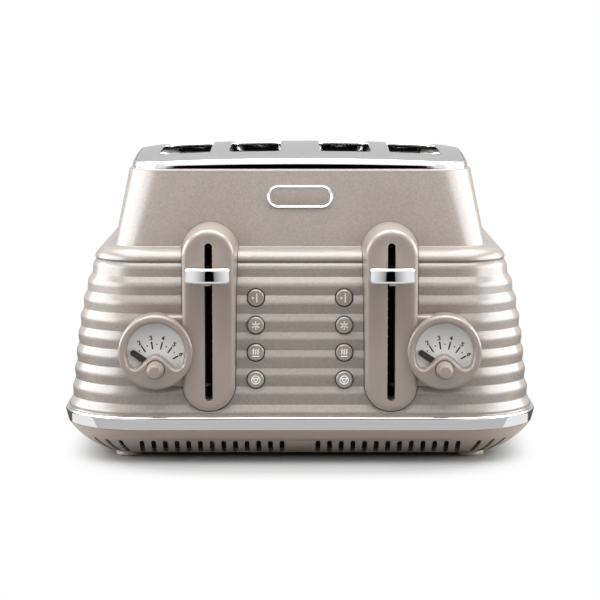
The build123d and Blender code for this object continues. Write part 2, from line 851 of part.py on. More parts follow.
# Guide rods for the carriages, and the brackets that hold their tops
with BuildPart() as guide_rods:
    for side, _ in sides:
        with BuildSketch(Plane.XY.offset(chassis_top)):
            with Locations((side * pair_x, front + rod_setback)):
                Circle(rod_radius)
        extrude(amount=rod_top - chassis_top)
guide_rods.part.label = "guide_rods"
export_step(guide_rods.part, "parts/guide_rods.step")

with BuildPart() as rod_brackets:
    for side, _ in sides:
        with BuildSketch(Plane.XY.offset(bracket_z)):
            with Locations((side * pair_x, front + (bracket_front + chamber_front) / 2)):
                Rectangle(bracket_width, chamber_front - bracket_front)
            with Locations((side * pair_x, front + rod_setback)):
                Circle(rod_radius + rod_fit, mode=Mode.SUBTRACT)
        extrude(amount=bracket_thickness)
rod_brackets.part.label = "rod_brackets"
export_step(rod_brackets.part, "parts/rod_brackets.step")

# Lift springs round the rods, under the sliders, as plain sleeves
for side, name in sides:
    with BuildPart() as lift_spring:
        with BuildSketch(Plane.XY.offset(chassis_top)):
            with Locations((side * pair_x, front + rod_setback)):
                Circle(spring_radius)
                Circle(spring_radius - spring_wire, mode=Mode.SUBTRACT)
        extrude(amount=slider_bottom - chassis_top)
    lift_spring.part.label = f"lift_spring_{name}"
    export_step(lift_spring.part, f"parts/lift_spring_{name}.step")

# Hold-down magnets, just under the keepers when the levers are down
with BuildPart() as magnets:
    for side, _ in sides:
        with BuildSketch(Plane.XY.offset(chassis_top)):
            with Locations((side * keeper_x, front + rod_setback)):
                Rectangle(magnet_width, magnet_width)
        extrude(amount=lever_z - lever_drop - magnet_gap - chassis_top)
magnets.part.label = "magnets"
export_step(magnets.part, "parts/magnets.step")

# Push buttons: a long plunger with a flange behind the casing wall
button_tail = board_setback - switch_height - button_travel - switch_gap
for side, side_name in sides:
    for row_z, row_name in zip(button_rows, button_names):
        button_front = inset_at(row_z) - button_stand
        flange_reach = button_radius + button_flange
        flange_front = inset_at(row_z + flange_reach) + rib_wall + button_flange
        with BuildPart() as button:
            with BuildSketch(front_plane(button_tail)):
                with Locations((side * button_x, row_z)):
                    Circle(button_radius)
            extrude(amount=button_tail - button_front)
            fillet(button.faces().sort_by(Axis.Y)[0].edges(), button_edge_radius)
            with BuildSketch(front_plane(flange_front + button_flange_thickness)):
                with Locations((side * button_x, row_z)):
                    Circle(flange_reach)
            extrude(amount=button_flange_thickness)
        button.part.label = f"button_{row_name}_{side_name}"
        export_step(button.part, f"parts/button_{row_name}_{side_name}.step")

# Button board, its switches and the standoffs that hold it
board_bottom = button_rows[-1] - board_margin
board_top = button_rows[0] + board_margin
with BuildPart() as button_board:
    with BuildSketch(front_plane(board_setback)):
        with Locations((0, (board_bottom + board_top) / 2)):
            Rectangle(board_width, board_top - board_bottom)
    extrude(amount=-board_thickness)
button_board.part.label = "button_board"
export_step(button_board.part, "parts/button_board.step")

with BuildPart() as button_switches:
    with BuildSketch(front_plane(board_setback)):
        for side, _ in sides:
            for row_z in button_rows:
                with Locations((side * button_x, row_z)):
                    Rectangle(switch_size, switch_size)
    extrude(amount=switch_height)
button_switches.part.label = "button_switches"
export_step(button_switches.part, "parts/button_switches.step")

with BuildPart() as board_standoffs:
    with BuildSketch(front_plane(board_setback + board_thickness)):
        for side, _ in sides:
            for stand_z in (board_bottom + standoff_inset, board_top - standoff_inset):
                with Locations((side * standoff_x, stand_z)):
                    Circle(standoff_radius)
    extrude(amount=-(chamber_front - board_setback - board_thickness))
board_standoffs.part.label = "board_standoffs"
export_step(board_standoffs.part, "parts/board_standoffs.step")

# Chassis base: a sheet on the tub's posts, open under the toast chambers
with BuildPart() as chassis_base:
    with BuildSketch(Plane.XY.offset(chassis_z)):
        with Locations((0, front + (chassis_front_setback + chassis_back_setback) / 2)):
            Rectangle(chassis_width, chassis_back_setback - chassis_front_setback)
        with Locations(*[(side * pair_x, front + (chamber_front + chamber_back) / 2) for side, _ in sides]):
            Rectangle(
                crumb_hole_width,
                chamber_back - chamber_front - 2 * crumb_hole_margin,
                mode=Mode.SUBTRACT,
            )
        with Locations(*screw_points):
            Circle(screw_radius + screw_clearance, mode=Mode.SUBTRACT)
    extrude(amount=chassis_sheet)
chassis_base.part.label = "chassis_base"
export_step(chassis_base.part, "parts/chassis_base.step")

# Chamber walls: front and rear plates, slotted for racks and bread guides, and side shields
rack_slot_bottom = crossbar_z - lever_drop - rack_bar_height / 2 - rack_end_clearance
rack_slot_top = crossbar_z + lever_lift + rack_bar_height / 2 + rack_end_clearance
guide_slot_height = 2 * (guide_rod_radius + guide_clearance)
guide_slot_length = guide_closing + guide_opening + guide_slot_height
guide_slot_offset = guide_offset + (guide_opening - guide_closing) / 2
for setback, name in ((chamber_front, "front"), (chamber_back, "rear")):
    with BuildPart() as chamber_wall:
        with BuildSketch(front_plane(setback)):
            with Locations((0, (chassis_top + chamber_top) / 2)):
                Rectangle(chamber_width, chamber_top - chassis_top)
            for slot_x in toast_slots_x:
                with Locations((slot_x, (rack_slot_bottom + rack_slot_top) / 2)):
                    SlotOverall(
                        rack_slot_top - rack_slot_bottom,
                        rack_bar_width + 2 * rack_slot_clearance,
                        rotation=90,
                        mode=Mode.SUBTRACT,
                    )
                for part in (-1, 1):
                    for guide_z in (guide_bottom, guide_top):
                        with Locations((slot_x + part * guide_slot_offset, guide_z)):
                            SlotOverall(guide_slot_length, guide_slot_height, mode=Mode.SUBTRACT)
        extrude(amount=-chamber_sheet)
    chamber_wall.part.label = f"chamber_{name}"
    export_step(chamber_wall.part, f"parts/chamber_{name}.step")

chamber_inside = front + chamber_front + chamber_sheet
chamber_length = chamber_back - chamber_front - chamber_sheet
chamber_y = chamber_inside + chamber_length / 2
with BuildPart() as side_shields:
    for side, _ in sides:
        with BuildSketch(Plane.XY.offset(chassis_top)):
            with Locations((side * (chamber_width - chamber_sheet) / 2, chamber_y)):
                Rectangle(chamber_sheet, chamber_length)
        extrude(amount=chamber_top - chassis_top)
side_shields.part.label = "side_shields"
export_step(side_shields.part, "parts/side_shields.step")

# Heater boards between and beside the slots, and the ribbons wound across them
half_spacing = slot_spacing / 2
heater_places = []
for side, _ in sides:
    heater_places.append((side * (pair_x + half_spacing + heater_side_gap), (-side,)))
    heater_places.append((side * pair_x, (-1, 1)))
    heater_places.append((side * (pair_x - half_spacing - heater_side_gap), (side,)))
with BuildPart() as heater_boards:
    with BuildSketch(Plane.XY.offset(heater_bottom)):
        with Locations(*[(x, chamber_y) for x, _ in heater_places]):
            Rectangle(heater_board_sheet, chamber_length)
    extrude(amount=heater_top - heater_bottom)
heater_boards.part.label = "heater_boards"
export_step(heater_boards.part, "parts/heater_boards.step")

ribbon_start_z = (heater_bottom + heater_top - (ribbon_rows - 1) * ribbon_pitch) / 2
with BuildPart() as heater_ribbons:
    for board_x, faces_way in heater_places:
        for way in faces_way:
            with BuildSketch(Plane.YZ.offset(board_x + way * heater_board_sheet / 2)):
                for row in range(ribbon_rows):
                    row_z = ribbon_start_z + row * ribbon_pitch
                    with Locations((chamber_y, row_z)):
                        Rectangle(ribbon_length, ribbon_height)
                    if row > 0:
                        turn_y = chamber_y + (-1) ** row * (ribbon_length - ribbon_height) / 2
                        with Locations((turn_y, row_z - ribbon_pitch / 2)):
                            Rectangle(ribbon_height, ribbon_pitch)
            extrude(amount=way * ribbon_thickness)
heater_ribbons.part.label = "heater_ribbons"
export_step(heater_ribbons.part, "parts/heater_ribbons.step")

# Bread guides: wire grids on rods that slide sideways in the chamber plates
guide_start = chamber_front - guide_tail
guide_end = chamber_back + chamber_sheet + guide_tail
for side, side_name in sides:
    for part, part_name in sides:
        with BuildPart() as bread_guides:
            for slot_part in (-1, 1):
                guide_x = side * pair_x + slot_part * half_spacing + part * guide_offset
                with BuildSketch(front_plane(guide_start)):
                    with Locations((guide_x, guide_bottom), (guide_x, guide_top)):
                        Circle(guide_rod_radius)
                extrude(amount=-(guide_end - guide_start))
                with BuildSketch(Plane.XY.offset(guide_bottom)):
                    for wire in range(guide_wire_count):
                        wire_y = (wire + 0.5) * toast_slot_length / guide_wire_count
                        with Locations((guide_x, front + toast_slot_setback + wire_y)):
                            Circle(guide_wire_radius)
                extrude(amount=guide_top - guide_bottom)
        bread_guides.part.label = f"bread_guides_{side_name}_{part_name}_hand"
        export_step(bread_guides.part, f"parts/bread_guides_{side_name}_{part_name}_hand.step")

# Crumb trays: pans on the tub floor whose rear panel continues the bowl of the tub
tray_bottom = floor_top + tray_lift
for side, name in sides:
    tray_length = rear - front - tray_front_setback
    with BuildPart() as crumb_tray:
        with BuildSketch(Plane.XY.offset(tray_bottom)):
            with Locations((side * pair_x, rear - tray_length / 2)):
                Rectangle(tray_width, tray_length)
        extrude(amount=tray_height)
        add(tub_bowl.part, mode=Mode.INTERSECT)
        with BuildSketch(Plane.XY.offset(tray_bottom + tray_wall)):
            hollow_length = tray_length - tray_wall - tray_panel_inset
            with Locations((side * pair_x, rear - tray_panel_inset - hollow_length / 2)):
                Rectangle(tray_width - 2 * tray_wall, hollow_length)
        extrude(amount=tray_height, mode=Mode.SUBTRACT)
        with BuildSketch(Plane.YZ.offset(side * pair_x - tray_grip_length / 2)):
            with Locations((rear - tray_grip_inset, tray_bottom + tray_height / 2)):
                Circle(tray_grip_radius)
        extrude(amount=tray_grip_length, mode=Mode.SUBTRACT)
    crumb_tray.part.label = f"crumb_tray_{name}"
    export_step(crumb_tray.part, f"parts/crumb_tray_{name}.step")

# Cord gland: a flanged grommet through the tub floor
with BuildPart() as cord_gland:
    with BuildSketch(Plane.XY.offset(foot_height - gland_flange)):
        with Locations((gland_x, rear - gland_inset)):
            Circle(gland_flange_radius)
    extrude(amount=gland_flange)
    with BuildSketch(Plane.XY.offset(foot_height)):
        with Locations((gland_x, rear - gland_inset)):
            Circle(gland_neck_radius)
    extrude(amount=tub_wall)
    with BuildSketch(Plane.XY.offset(floor_top)):
        with Locations((gland_x, rear - gland_inset)):
            Circle(gland_flange_radius)
    extrude(amount=gland_flange)
    with BuildSketch(Plane.XY.offset(foot_height - gland_flange)):
        with Locations((gland_x, rear - gland_inset)):
            Circle(gland_bore_radius)
    extrude(amount=2 * gland_flange + tub_wall, mode=Mode.SUBTRACT)
cord_gland.part.label = "cord_gland"
export_step(cord_gland.part, "parts/cord_gland.step")

# Base screws, up through the posts into the chassis
with BuildPart() as base_screws:
    with BuildSketch(Plane.XY.offset(foot_height + screw_sink)):
        with Locations(*screw_points):
            Circle(screw_head_radius)
    extrude(amount=screw_head_height)
    with BuildSketch(Plane.XY.offset(foot_height + screw_sink)):
        with Locations(*screw_points):
            Circle(screw_radius)
    extrude(amount=chassis_top - foot_height - screw_sink)
base_screws.part.label = "base_screws"
export_step(base_screws.part, "parts/base_screws.step")
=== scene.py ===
"""Four-slot pop-up toaster, dressed: ribbed painted casing, chrome trims, steel top, dials, levers, buttons.

Shapes are worked out in millimetres on whole arrays and turned into metres when a mesh is made.
A setback is a distance behind the front of the chrome band. An inset is a distance inside the band's outline.
"""
import json
import math
import bmesh
import bpy
import numpy as np
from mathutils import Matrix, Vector


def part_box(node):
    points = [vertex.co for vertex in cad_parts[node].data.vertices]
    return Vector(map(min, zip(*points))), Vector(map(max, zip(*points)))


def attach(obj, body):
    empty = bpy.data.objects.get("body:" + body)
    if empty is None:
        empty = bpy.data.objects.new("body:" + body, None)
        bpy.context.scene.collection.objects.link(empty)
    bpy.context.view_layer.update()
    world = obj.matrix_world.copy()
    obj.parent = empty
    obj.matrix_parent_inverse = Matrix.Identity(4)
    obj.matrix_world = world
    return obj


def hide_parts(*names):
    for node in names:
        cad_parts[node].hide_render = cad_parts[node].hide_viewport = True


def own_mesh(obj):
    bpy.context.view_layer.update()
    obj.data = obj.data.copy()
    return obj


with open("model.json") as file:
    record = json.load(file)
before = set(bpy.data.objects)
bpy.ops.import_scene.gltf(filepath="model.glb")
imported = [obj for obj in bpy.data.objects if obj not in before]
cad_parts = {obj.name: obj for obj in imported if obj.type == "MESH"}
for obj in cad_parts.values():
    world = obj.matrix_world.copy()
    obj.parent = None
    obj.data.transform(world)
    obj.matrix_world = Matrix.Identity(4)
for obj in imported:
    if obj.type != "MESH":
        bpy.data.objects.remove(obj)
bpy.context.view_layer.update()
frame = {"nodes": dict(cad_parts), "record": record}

MM = 0.001
QUARTER = np.pi / 2
SIDES = ((-1, "left"), (1, "right"))
BUTTON_ROWS = ("one_side", "defrost", "reheat", "stop")
MERGE_REACH = 1e-6


def node_box(name):
    """Lowest and highest corner of a CAD node, in millimetres."""
    low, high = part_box(name)
    return np.array(low) / MM, np.array(high) / MM


def node_middle(name):
    """Middle of a CAD node's box, in millimetres."""
    low, high = node_box(name)
    return (low + high) / 2


def node_half(name):
    """Half the size of a CAD node's box, in millimetres."""
    low, high = node_box(name)
    return (high - low) / 2


def node_setbacks(name):
    """Setbacks of a CAD node's front and back."""
    low, high = node_box(name)
    return low[1] - front, high[1] - front


# Places read from the frame
band_low, band_high = node_box("chrome_band")
plate_low, plate_high = node_box("top_plate")
handle_low, handle_high = node_box("lever_handle_right")
housing_low, housing_high = node_box("lever_housing_right")
half_width = band_high[0]
front = band_low[1]
rear = band_high[1]
middle_y = (front + rear) / 2
half_depth = (rear - front) / 2
tub_top = band_low[2]
band_top = band_high[2]
shoulder_z = node_box("ribbed_body")[1][2]
shell_top = node_box("upper_shell")[1][2]
crown_z = plate_high[2]
plate_half_width = plate_high[0]
plate_half_depth = (plate_high[1] - plate_low[1]) / 2
lever_x, _, lever_z = node_middle("lever_handle_right")
dial_x, _, dial_z = node_middle("dial_bezel_right")
pivot_z = node_middle("dial_knob_right")[2]
pod_radius = node_half("dial_bezel_right")[0]
bezel_front, bezel_back = node_setbacks("dial_bezel_right")
dial_face_front = node_setbacks("dial_face_right")[0]

# Casing profile
corner_radius = 60.0
casing_corner_steps = 26
band_lean = 2.2
band_depth = 10.0
band_foot_in = 0.8
band_foot_rise = 0.4
band_roll_drop = 1.6
band_roll_in = 0.5
band_ledge = 3.0
band_edge_reaches = (0.4, 0.8, 0.8)
flank_inset = 4.4
flank_lean = 9.0
flank_bell = 9.0
flank_bell_power = 4
flank_flare = 3.0
flank_flare_power = 12
rib_count = 9
rib_first_rise = 2.9
rib_last_drop = 2.6
rib_slope_height = 5.5
rib_valley_depth = 1.8
rib_nose_reach = 2.4
rib_crease_reach = 0.3
rib_wall = 4.5
shoulder_step = 1.2
bead_height = 14.8
bead_foot = 1.5
bead_crest = 10.0
bead_tuck = 0.2
shell_foot_inset = 37.7
shell_top_inset = 47.5
shell_corner_radius = 78.0
shell_wall = 2.5
shell_wall_drop = 1.5
shell_edge = 0.4
shell_edge_drop = 0.6
shell_rim = 1.2
shell_lip = 1.4
shell_edge_reaches = (0.8, 0.5, 0.4)

# Lever housings and dial pods
housing_radius = 21.4
housing_back = 42.0
housing_face = 0.5
housing_draft = math.radians(3.6)
housing_edge = 3.6
lever_slot_half = 2.7
lever_slot_foot = 10.3
lever_slot_head = 12.3
lever_slot_depth = 22.0
lever_slot_roll = 0.5
lever_slot_break = 0.15
pod_back = 32.0
pod_draft = math.radians(3.0)
pod_hollow = 22.0
pod_ledge = 4.0
pod_break = 0.3
pod_steps = 96
web_setback = 5.0
web_margin = 1.0
web_root = 12.0
web_edge = 2.5
web_overlap = 0.4
web_steps = 81
seam = 0.12
cutter_front = -1.0

# Top plate
crown_drop_across = 3.2
crown_drop_front = 7.2
crown_drop_rear = 5.8
crown_end_drop = 2.4
crown_end_power = 12
plate_step = 1.6


def flank_inset_at(z):
    """Inset of the rib noses at height z: a bell that leans in at the shoulder and flares at the foot."""
    rise = (z - band_top) / (shoulder_z - band_top)
    lean = flank_lean * rise + flank_bell * rise**flank_bell_power
    return flank_inset + lean - flank_flare * (1 - rise) ** flank_flare_power


def pod_radius_at(setback):
    """Radius of a drafted dial pod at a setback: it grows by the tangent of the draft."""
    return pod_radius + math.tan(pod_draft) * (setback - housing_face)


def crown_at(x, y):
    """Height of the crowned top plate: parabolas across and along it, and a steep power at its ends."""
    across = np.abs(x) / plate_half_width
    along = (y - middle_y) / plate_half_depth
    drop = np.where(along < 0, crown_drop_front, crown_drop_rear) * along**2
    return crown_z - drop - crown_drop_across * across**2 - crown_end_drop * across**crown_end_power


# Outlines and paths

def rounded_rectangle(half_x, half_y, radius, centre=(0.0, 0.0), corner_steps=20, side_steps=8):
    """Rounded rectangle, anticlockwise: four quarter circles joined by straight runs.

    Gives the points and their outward normals. Each run has a point close to both of its ends.
    """
    end_share = 0.02
    turn = np.linspace(0, QUARTER, corner_steps + 1)
    corners = ((1, -1, -QUARTER), (1, 1, 0.0), (-1, 1, QUARTER), (-1, -1, np.pi))
    run = np.concatenate(([end_share], np.linspace(0, 1, side_steps + 1)[1:-1], [1 - end_share]))[:, None]
    arcs = []
    for sign_x, sign_y, start in corners:
        normal = np.stack((np.cos(start + turn), np.sin(start + turn)), axis=1)
        middle = np.array((sign_x * (half_x - radius), sign_y * (half_y - radius)))
        arcs.append((middle + radius * normal, normal))
    points, normals = [], []
    for (arc, normal), (following, _) in zip(arcs, arcs[1:] + arcs[:1]):
        points += [arc, arc[-1] + (following[0] - arc[-1]) * run]
        normals += [normal, np.repeat(normal[-1:], len(run), axis=0)]
    return np.array(centre) + np.concatenate(points), np.concatenate(normals)


def casing_outline(radius):
    """Outline of the band with corners of a radius."""
    return rounded_rectangle(half_width, half_depth, radius, (0.0, middle_y), casing_corner_steps)


def circle_points(radius, steps):
    """Circle about the origin."""
    angle = np.linspace(0, 2 * np.pi, steps, endpoint=False)
    return np.stack((radius * np.cos(angle), radius * np.sin(angle)), axis=1)


def line_normals(points, closed=True):
    """Normals to the right of a line: the tangent through both neighbours, turned by a quarter."""
    if closed:
        along = np.roll(points, -1, axis=0) - np.roll(points, 1, axis=0)
    else:
        along = np.gradient(points, axis=0)
    along /= np.linalg.norm(along, axis=1, keepdims=True)
    return np.stack((along[:, 1], -along[:, 0]), axis=1)


def softened(points, reaches, steps=5):
    """Polyline whose inner corners become parabolas that start and end a reach from the corner.

    A parabola takes up less than half of a run, so that neighbours don't meet.
    """
    most = 0.49
    points = np.asarray(points, float)
    t = np.linspace(0, 1, steps)[:, None]
    line = [points[:1]]
    for before, corner, after, reach in zip(points, points[1:], points[2:], reaches):
        start = corner + (before - corner) * min(most, reach / np.linalg.norm(before - corner))
        end = corner + (after - corner) * min(most, reach / np.linalg.norm(after - corner))
        line.append((1 - t) ** 2 * start + 2 * t * (1 - t) * corner + t**2 * end)
    line.append(points[-1:])
    return np.concatenate(line)


def resampled(line, count):
    """Points evenly spaced along a polyline."""
    steps = np.linalg.norm(np.diff(line, axis=0), axis=1)
    reach = np.concatenate(([0.0], np.cumsum(steps)))
    even = np.linspace(0, reach[-1], count)
    return np.stack([np.interp(even, reach, column) for column in line.T], axis=1)


def rotated(points, degrees):
    """Flat points turned about the origin."""
    cosine, sine = math.cos(math.radians(degrees)), math.sin(math.radians(degrees))
    x, y = points[..., 0], points[..., 1]
    return np.stack((x * cosine - y * sine, x * sine + y * cosine), axis=-1)


# Surfaces

def gridded(*columns):
    """Grid of points whose coordinates are broadcast together."""
    return np.stack(np.broadcast_arrays(*columns), axis=-1)


def lifted(plan, level):
    """Grid of flat points, each with its level as third coordinate."""
    return gridded(plan[..., 0], plan[..., 1], level)


def inset_plan(path, inset):
    """Flat grid of a path's points, each moved in by every inset against the path's normals."""
    points, normals = path
    return points[:, None, :] - inset[None, :, None] * normals[:, None, :]


def carried(profile, path):
    """Grid of a profile of (inset, height) carried round a path: each point lies inset inside the path."""
    inset, height = np.asarray(profile, float).T
    return lifted(inset_plan(path, inset), height)


def prism(outline, middle, low, high):
    """Grid of a closed prism: a flat outline at two levels, with both ends drawn in to a middle point."""
    share = np.array((0.0, 1.0, 1.0, 0.0))
    plan = np.array(middle) + (outline - np.array(middle))[:, None, :] * share[None, :, None]
    return lifted(plan, np.array((low, low, high, high)))


def surface(points, wrap_u=True, wrap_v=False, flip=False):
    """Quads over a grid of points. Their normals follow u cross v, or the other way when flipped."""
    rows, columns = points.shape[:2]
    index = np.arange(rows * columns).reshape(rows, columns)
    if wrap_u:
        index = np.concatenate((index, index[:1]), axis=0)
    if wrap_v:
        index = np.concatenate((index, index[:, :1]), axis=1)
    quads = np.stack((index[:-1, :-1], index[1:, :-1], index[1:, 1:], index[:-1, 1:]), axis=-1)
    quads = quads.reshape(-1, 4)
    if flip:
        quads = quads[:, ::-1]
    return points.reshape(-1, 3), quads.tolist()


def tube(rings):
    """Quads over a grid of rings. Both ends close to the middle of the end ring."""
    ends = rings[[0, -1]].mean(axis=1, keepdims=True).repeat(rings.shape[1], axis=1)
    return surface(np.concatenate((ends[:1], rings, ends[1:])), wrap_u=False, wrap_v=True, flip=True)


def joined(*shapes):
    """Several shapes as one: vertices in a row, faces renumbered."""
    vertices, faces, count = [], [], 0
    for points, polygons in shapes:
        vertices.append(points)
        faces += [[corner + count for corner in polygon] for polygon in polygons]
        count += len(points)
    return np.concatenate(vertices), faces


def upright(grid, x=0.0, z=0.0):
    """Turns a grid of (across, up, setback) to stand behind the front of the band, about a point of it."""
    return np.stack((grid[..., 0] + x, grid[..., 2] + front, grid[..., 1] + z), axis=-1)


def placed(shape, x, z, setback=0.0):
    """A shape of (across, up, setback) stood on the front at a point, moved back by a setback."""
    points, faces = shape
    return upright(points + (0.0, 0.0, setback), x, z), faces


def stadium_grid(x, rows, steps=28):
    """Rows of (low centre, high centre, radius, setback): half circles over and under straight sides."""
    low, high, radius, setback = np.asarray(rows, float).T
    top = np.linspace(0, np.pi, steps)
    run = np.linspace(0, 1, steps + 2)[1:-1]
    flat = np.full(steps, np.pi)
    angle = np.concatenate((top, flat, top + np.pi, 2 * flat))[:, None]
    share = np.concatenate((np.ones(steps), 1 - run, np.zeros(steps), run))[:, None]
    up = low + (high - low) * share + np.sin(angle) * radius
    return upright(gridded(np.cos(angle) * radius, up, setback), x)


def turned(x, z, profile, steps=64):
    """Profile of (radius, setback) turned about an axis that runs from front to back."""
    radius, setback = np.asarray(profile, float).T
    angle = np.linspace(0, 2 * np.pi, steps, endpoint=False)[:, None]
    grid = gridded(np.cos(angle) * radius, np.sin(angle) * radius, setback)
    return surface(upright(grid, x, z), flip=True)


def drum(x, z, near, far, start, end, steps=64):
    """Closed drum about an axis from front to back: radius near at the start setback, far at the end."""
    return turned(x, z, [(0.0, start), (near, start), (far, end), (0.0, end)], steps)


def ribbon(points, width, low, high, closed=False):
    """Flat bar along a line of (across, up): its edges lie half a width away, from setback low to high."""
    points = np.asarray(points, float)
    beside = line_normals(points, closed) * width / 2
    edges = ((1, high), (1, low), (-1, low), (-1, high))
    grid = np.stack([lifted(points + side * beside, level) for side, level in edges], axis=1)
    return surface(grid, wrap_v=True, flip=True) if closed else tube(grid)


# Pieces

def add_object(name, data):
    """New object at the origin, in the scene."""
    thing = bpy.data.objects.new(name, data)
    bpy.context.scene.collection.objects.link(thing)
    return thing


def smooth(mesh, angle=32.0):
    """Smooth shading everywhere but on edges sharper than an angle in degrees."""
    mesh.polygons.foreach_set("use_smooth", np.ones(len(mesh.polygons), bool))
    mesh.set_sharp_from_angle(angle=math.radians(angle))


def merged_object(name, mesh, reach):
    """Object of a mesh, with points that lie within a reach in metres merged, shaded smooth."""
    work = bmesh.new()
    work.from_mesh(mesh)
    bmesh.ops.remove_doubles(work, verts=work.verts, dist=reach)
    work.to_mesh(mesh)
    work.free()
    smooth(mesh)
    return add_object(name, mesh)


def make_object(name, shape):
    """Object of a shape."""
    points, faces = shape
    mesh = bpy.data.meshes.new(name)
    mesh.from_pydata((points * MM).tolist(), [], faces)
    return merged_object(name, mesh, MERGE_REACH)


def finish_piece(piece, material, body, slot, *nodes):
    """Gives a piece its material and body, and hides the CAD nodes that it stands for; the slot is not used.
    """
    piece.data.materials.clear()
    piece.data.materials.append(material)
    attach(piece, body)
    if nodes:
        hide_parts(*nodes)
    return piece


def make_piece(name, shape, material, body, slot, *nodes):
    """New piece of a shape, finished."""
    return finish_piece(make_object(name, shape), material, body, slot, *nodes)


def evaluated_mesh(thing):
    """Mesh of an object or curve with its modifiers applied."""
    bpy.context.view_layer.update()
    return bpy.data.meshes.new_from_object(thing.evaluated_get(bpy.context.evaluated_depsgraph_get()))


def mesh_shape(mesh):
    """Points in millimetres and faces of a mesh."""
    points = np.zeros(len(mesh.vertices) * 3)
    mesh.vertices.foreach_get("co", points)
    return points.reshape(-1, 3) / MM, [list(polygon.vertices) for polygon in mesh.polygons]


def cut(piece, *shapes):
    """Takes closed shapes away from a piece."""
    cutters = [make_object("cutter", shape) for shape in shapes]
    for cutter in cutters:
        step = piece.modifiers.new("cut", "BOOLEAN")
        step.operation = "DIFFERENCE"
        step.solver = "EXACT"
        step.object = cutter
    result = evaluated_mesh(piece)
    piece.modifiers.clear()
    piece.data = result
    smooth(result)
    for cutter in cutters:
        bpy.data.objects.remove(cutter)


# Node groups shared by the materials

flake_cloud = 0.25
grain_octaves = 4.0
bump_distance = 0.0002


def add_node(tree, kind, inputs=None, **settings):
    """New shader node with settings. Each input is linked to a socket or given a value."""
    node = tree.nodes.new("ShaderNode" + kind)
    for label, value in settings.items():
        setattr(node, label, value)
    for key, value in (inputs or {}).items():
        if isinstance(value, bpy.types.NodeSocket):
            tree.links.new(value, node.inputs[key])
        else:
            node.inputs[key].default_value = value
    return node


def new_group(name, inputs):
    """Empty shader group with float inputs and their defaults, and one output, a mask."""
    group = bpy.data.node_groups.new(name, "ShaderNodeTree")
    for label, default in inputs.items():
        socket = group.interface.new_socket(label, in_out="INPUT", socket_type="NodeSocketFloat")
        socket.default_value = default
    group.interface.new_socket("Mask", in_out="OUTPUT", socket_type="NodeSocketFloat")
    return group, group.nodes.new("NodeGroupInput"), group.nodes.new("NodeGroupOutput")


def flake_group():
    """Metal flake: cells of random brightness, with a share of a soft cloud mixed in. Gives a mask."""
    group, start, end = new_group("Flake", {"Scale": 900.0, "Cloud Scale": 40.0})
    place = add_node(group, "TexCoord").outputs["Object"]
    cells = add_node(group, "TexVoronoi", {"Vector": place, "Scale": start.outputs["Scale"]})
    cloud = add_node(group, "TexNoise", {"Vector": place, "Scale": start.outputs["Cloud Scale"]})
    split = add_node(group, "SeparateColor", {0: cells.outputs["Color"]})
    mix = add_node(group, "Mix", {0: flake_cloud, 2: split.outputs[0], 3: cloud.outputs[0]})
    group.links.new(mix.outputs[0], end.inputs["Mask"])
    return group


def grain_group():
    """Moulded or rolled grain: noise of several octaves, packed closer across by a stretch. Gives a mask."""
    group, start, end = new_group("Grain", {"Scale": 300.0, "Stretch": 1.0})
    place = add_node(group, "TexCoord").outputs["Object"]
    stretch = add_node(group, "CombineXYZ", {0: start.outputs["Stretch"], 1: 1.0, 2: 1.0})
    scaled = add_node(group, "VectorMath", {0: place, 1: stretch.outputs[0]}, operation="MULTIPLY")
    noise = add_node(group, "TexNoise", {"Vector": scaled.outputs[0], "Scale": start.outputs["Scale"],
                                         "Detail": grain_octaves})
    group.links.new(noise.outputs[0], end.inputs["Mask"])
    return group


FLAKE = flake_group()
GRAIN = grain_group()


def make_material(name, scale, colour, spread, roughness, metallic=0.0, group=GRAIN, stretch=None, bump=0.0,
                  coat=0.0, coat_roughness=0.1, ior=1.5):
    """Principled finish whose colour and roughness follow a group's mask, with an optional fine bump.

    At mask 0 and 1 the colour is darker and lighter by its spread, and roughness has its two values.
    """
    material = bpy.data.materials.new(name)
    material.use_nodes = True
    tree = material.node_tree
    shader = tree.nodes["Principled BSDF"]
    shader.inputs["Metallic"].default_value = metallic
    shader.inputs["IOR"].default_value = ior
    shader.inputs["Coat Weight"].default_value = coat
    shader.inputs["Coat Roughness"].default_value = coat_roughness
    pattern = add_node(tree, "Group", {"Scale": scale}, node_tree=group)
    if stretch:
        pattern.inputs["Stretch"].default_value = stretch
    mask = pattern.outputs["Mask"]
    dark = np.array(colour) * (1 - spread)
    light = np.minimum(np.array(colour) * (1 + spread), 1.0)
    tint = add_node(tree, "Mix", {0: mask, 6: (*dark, 1.0), 7: (*light, 1.0)}, data_type="RGBA")
    gloss = add_node(tree, "MapRange", {0: mask, "To Min": roughness[0], "To Max": roughness[1]})
    tree.links.new(tint.outputs[2], shader.inputs["Base Color"])
    tree.links.new(gloss.outputs[0], shader.inputs["Roughness"])
    if bump:
        relief = add_node(tree, "Bump", {"Strength": bump, "Distance": bump_distance, "Height": mask})
        tree.links.new(relief.outputs[0], shader.inputs["Normal"])
    return material


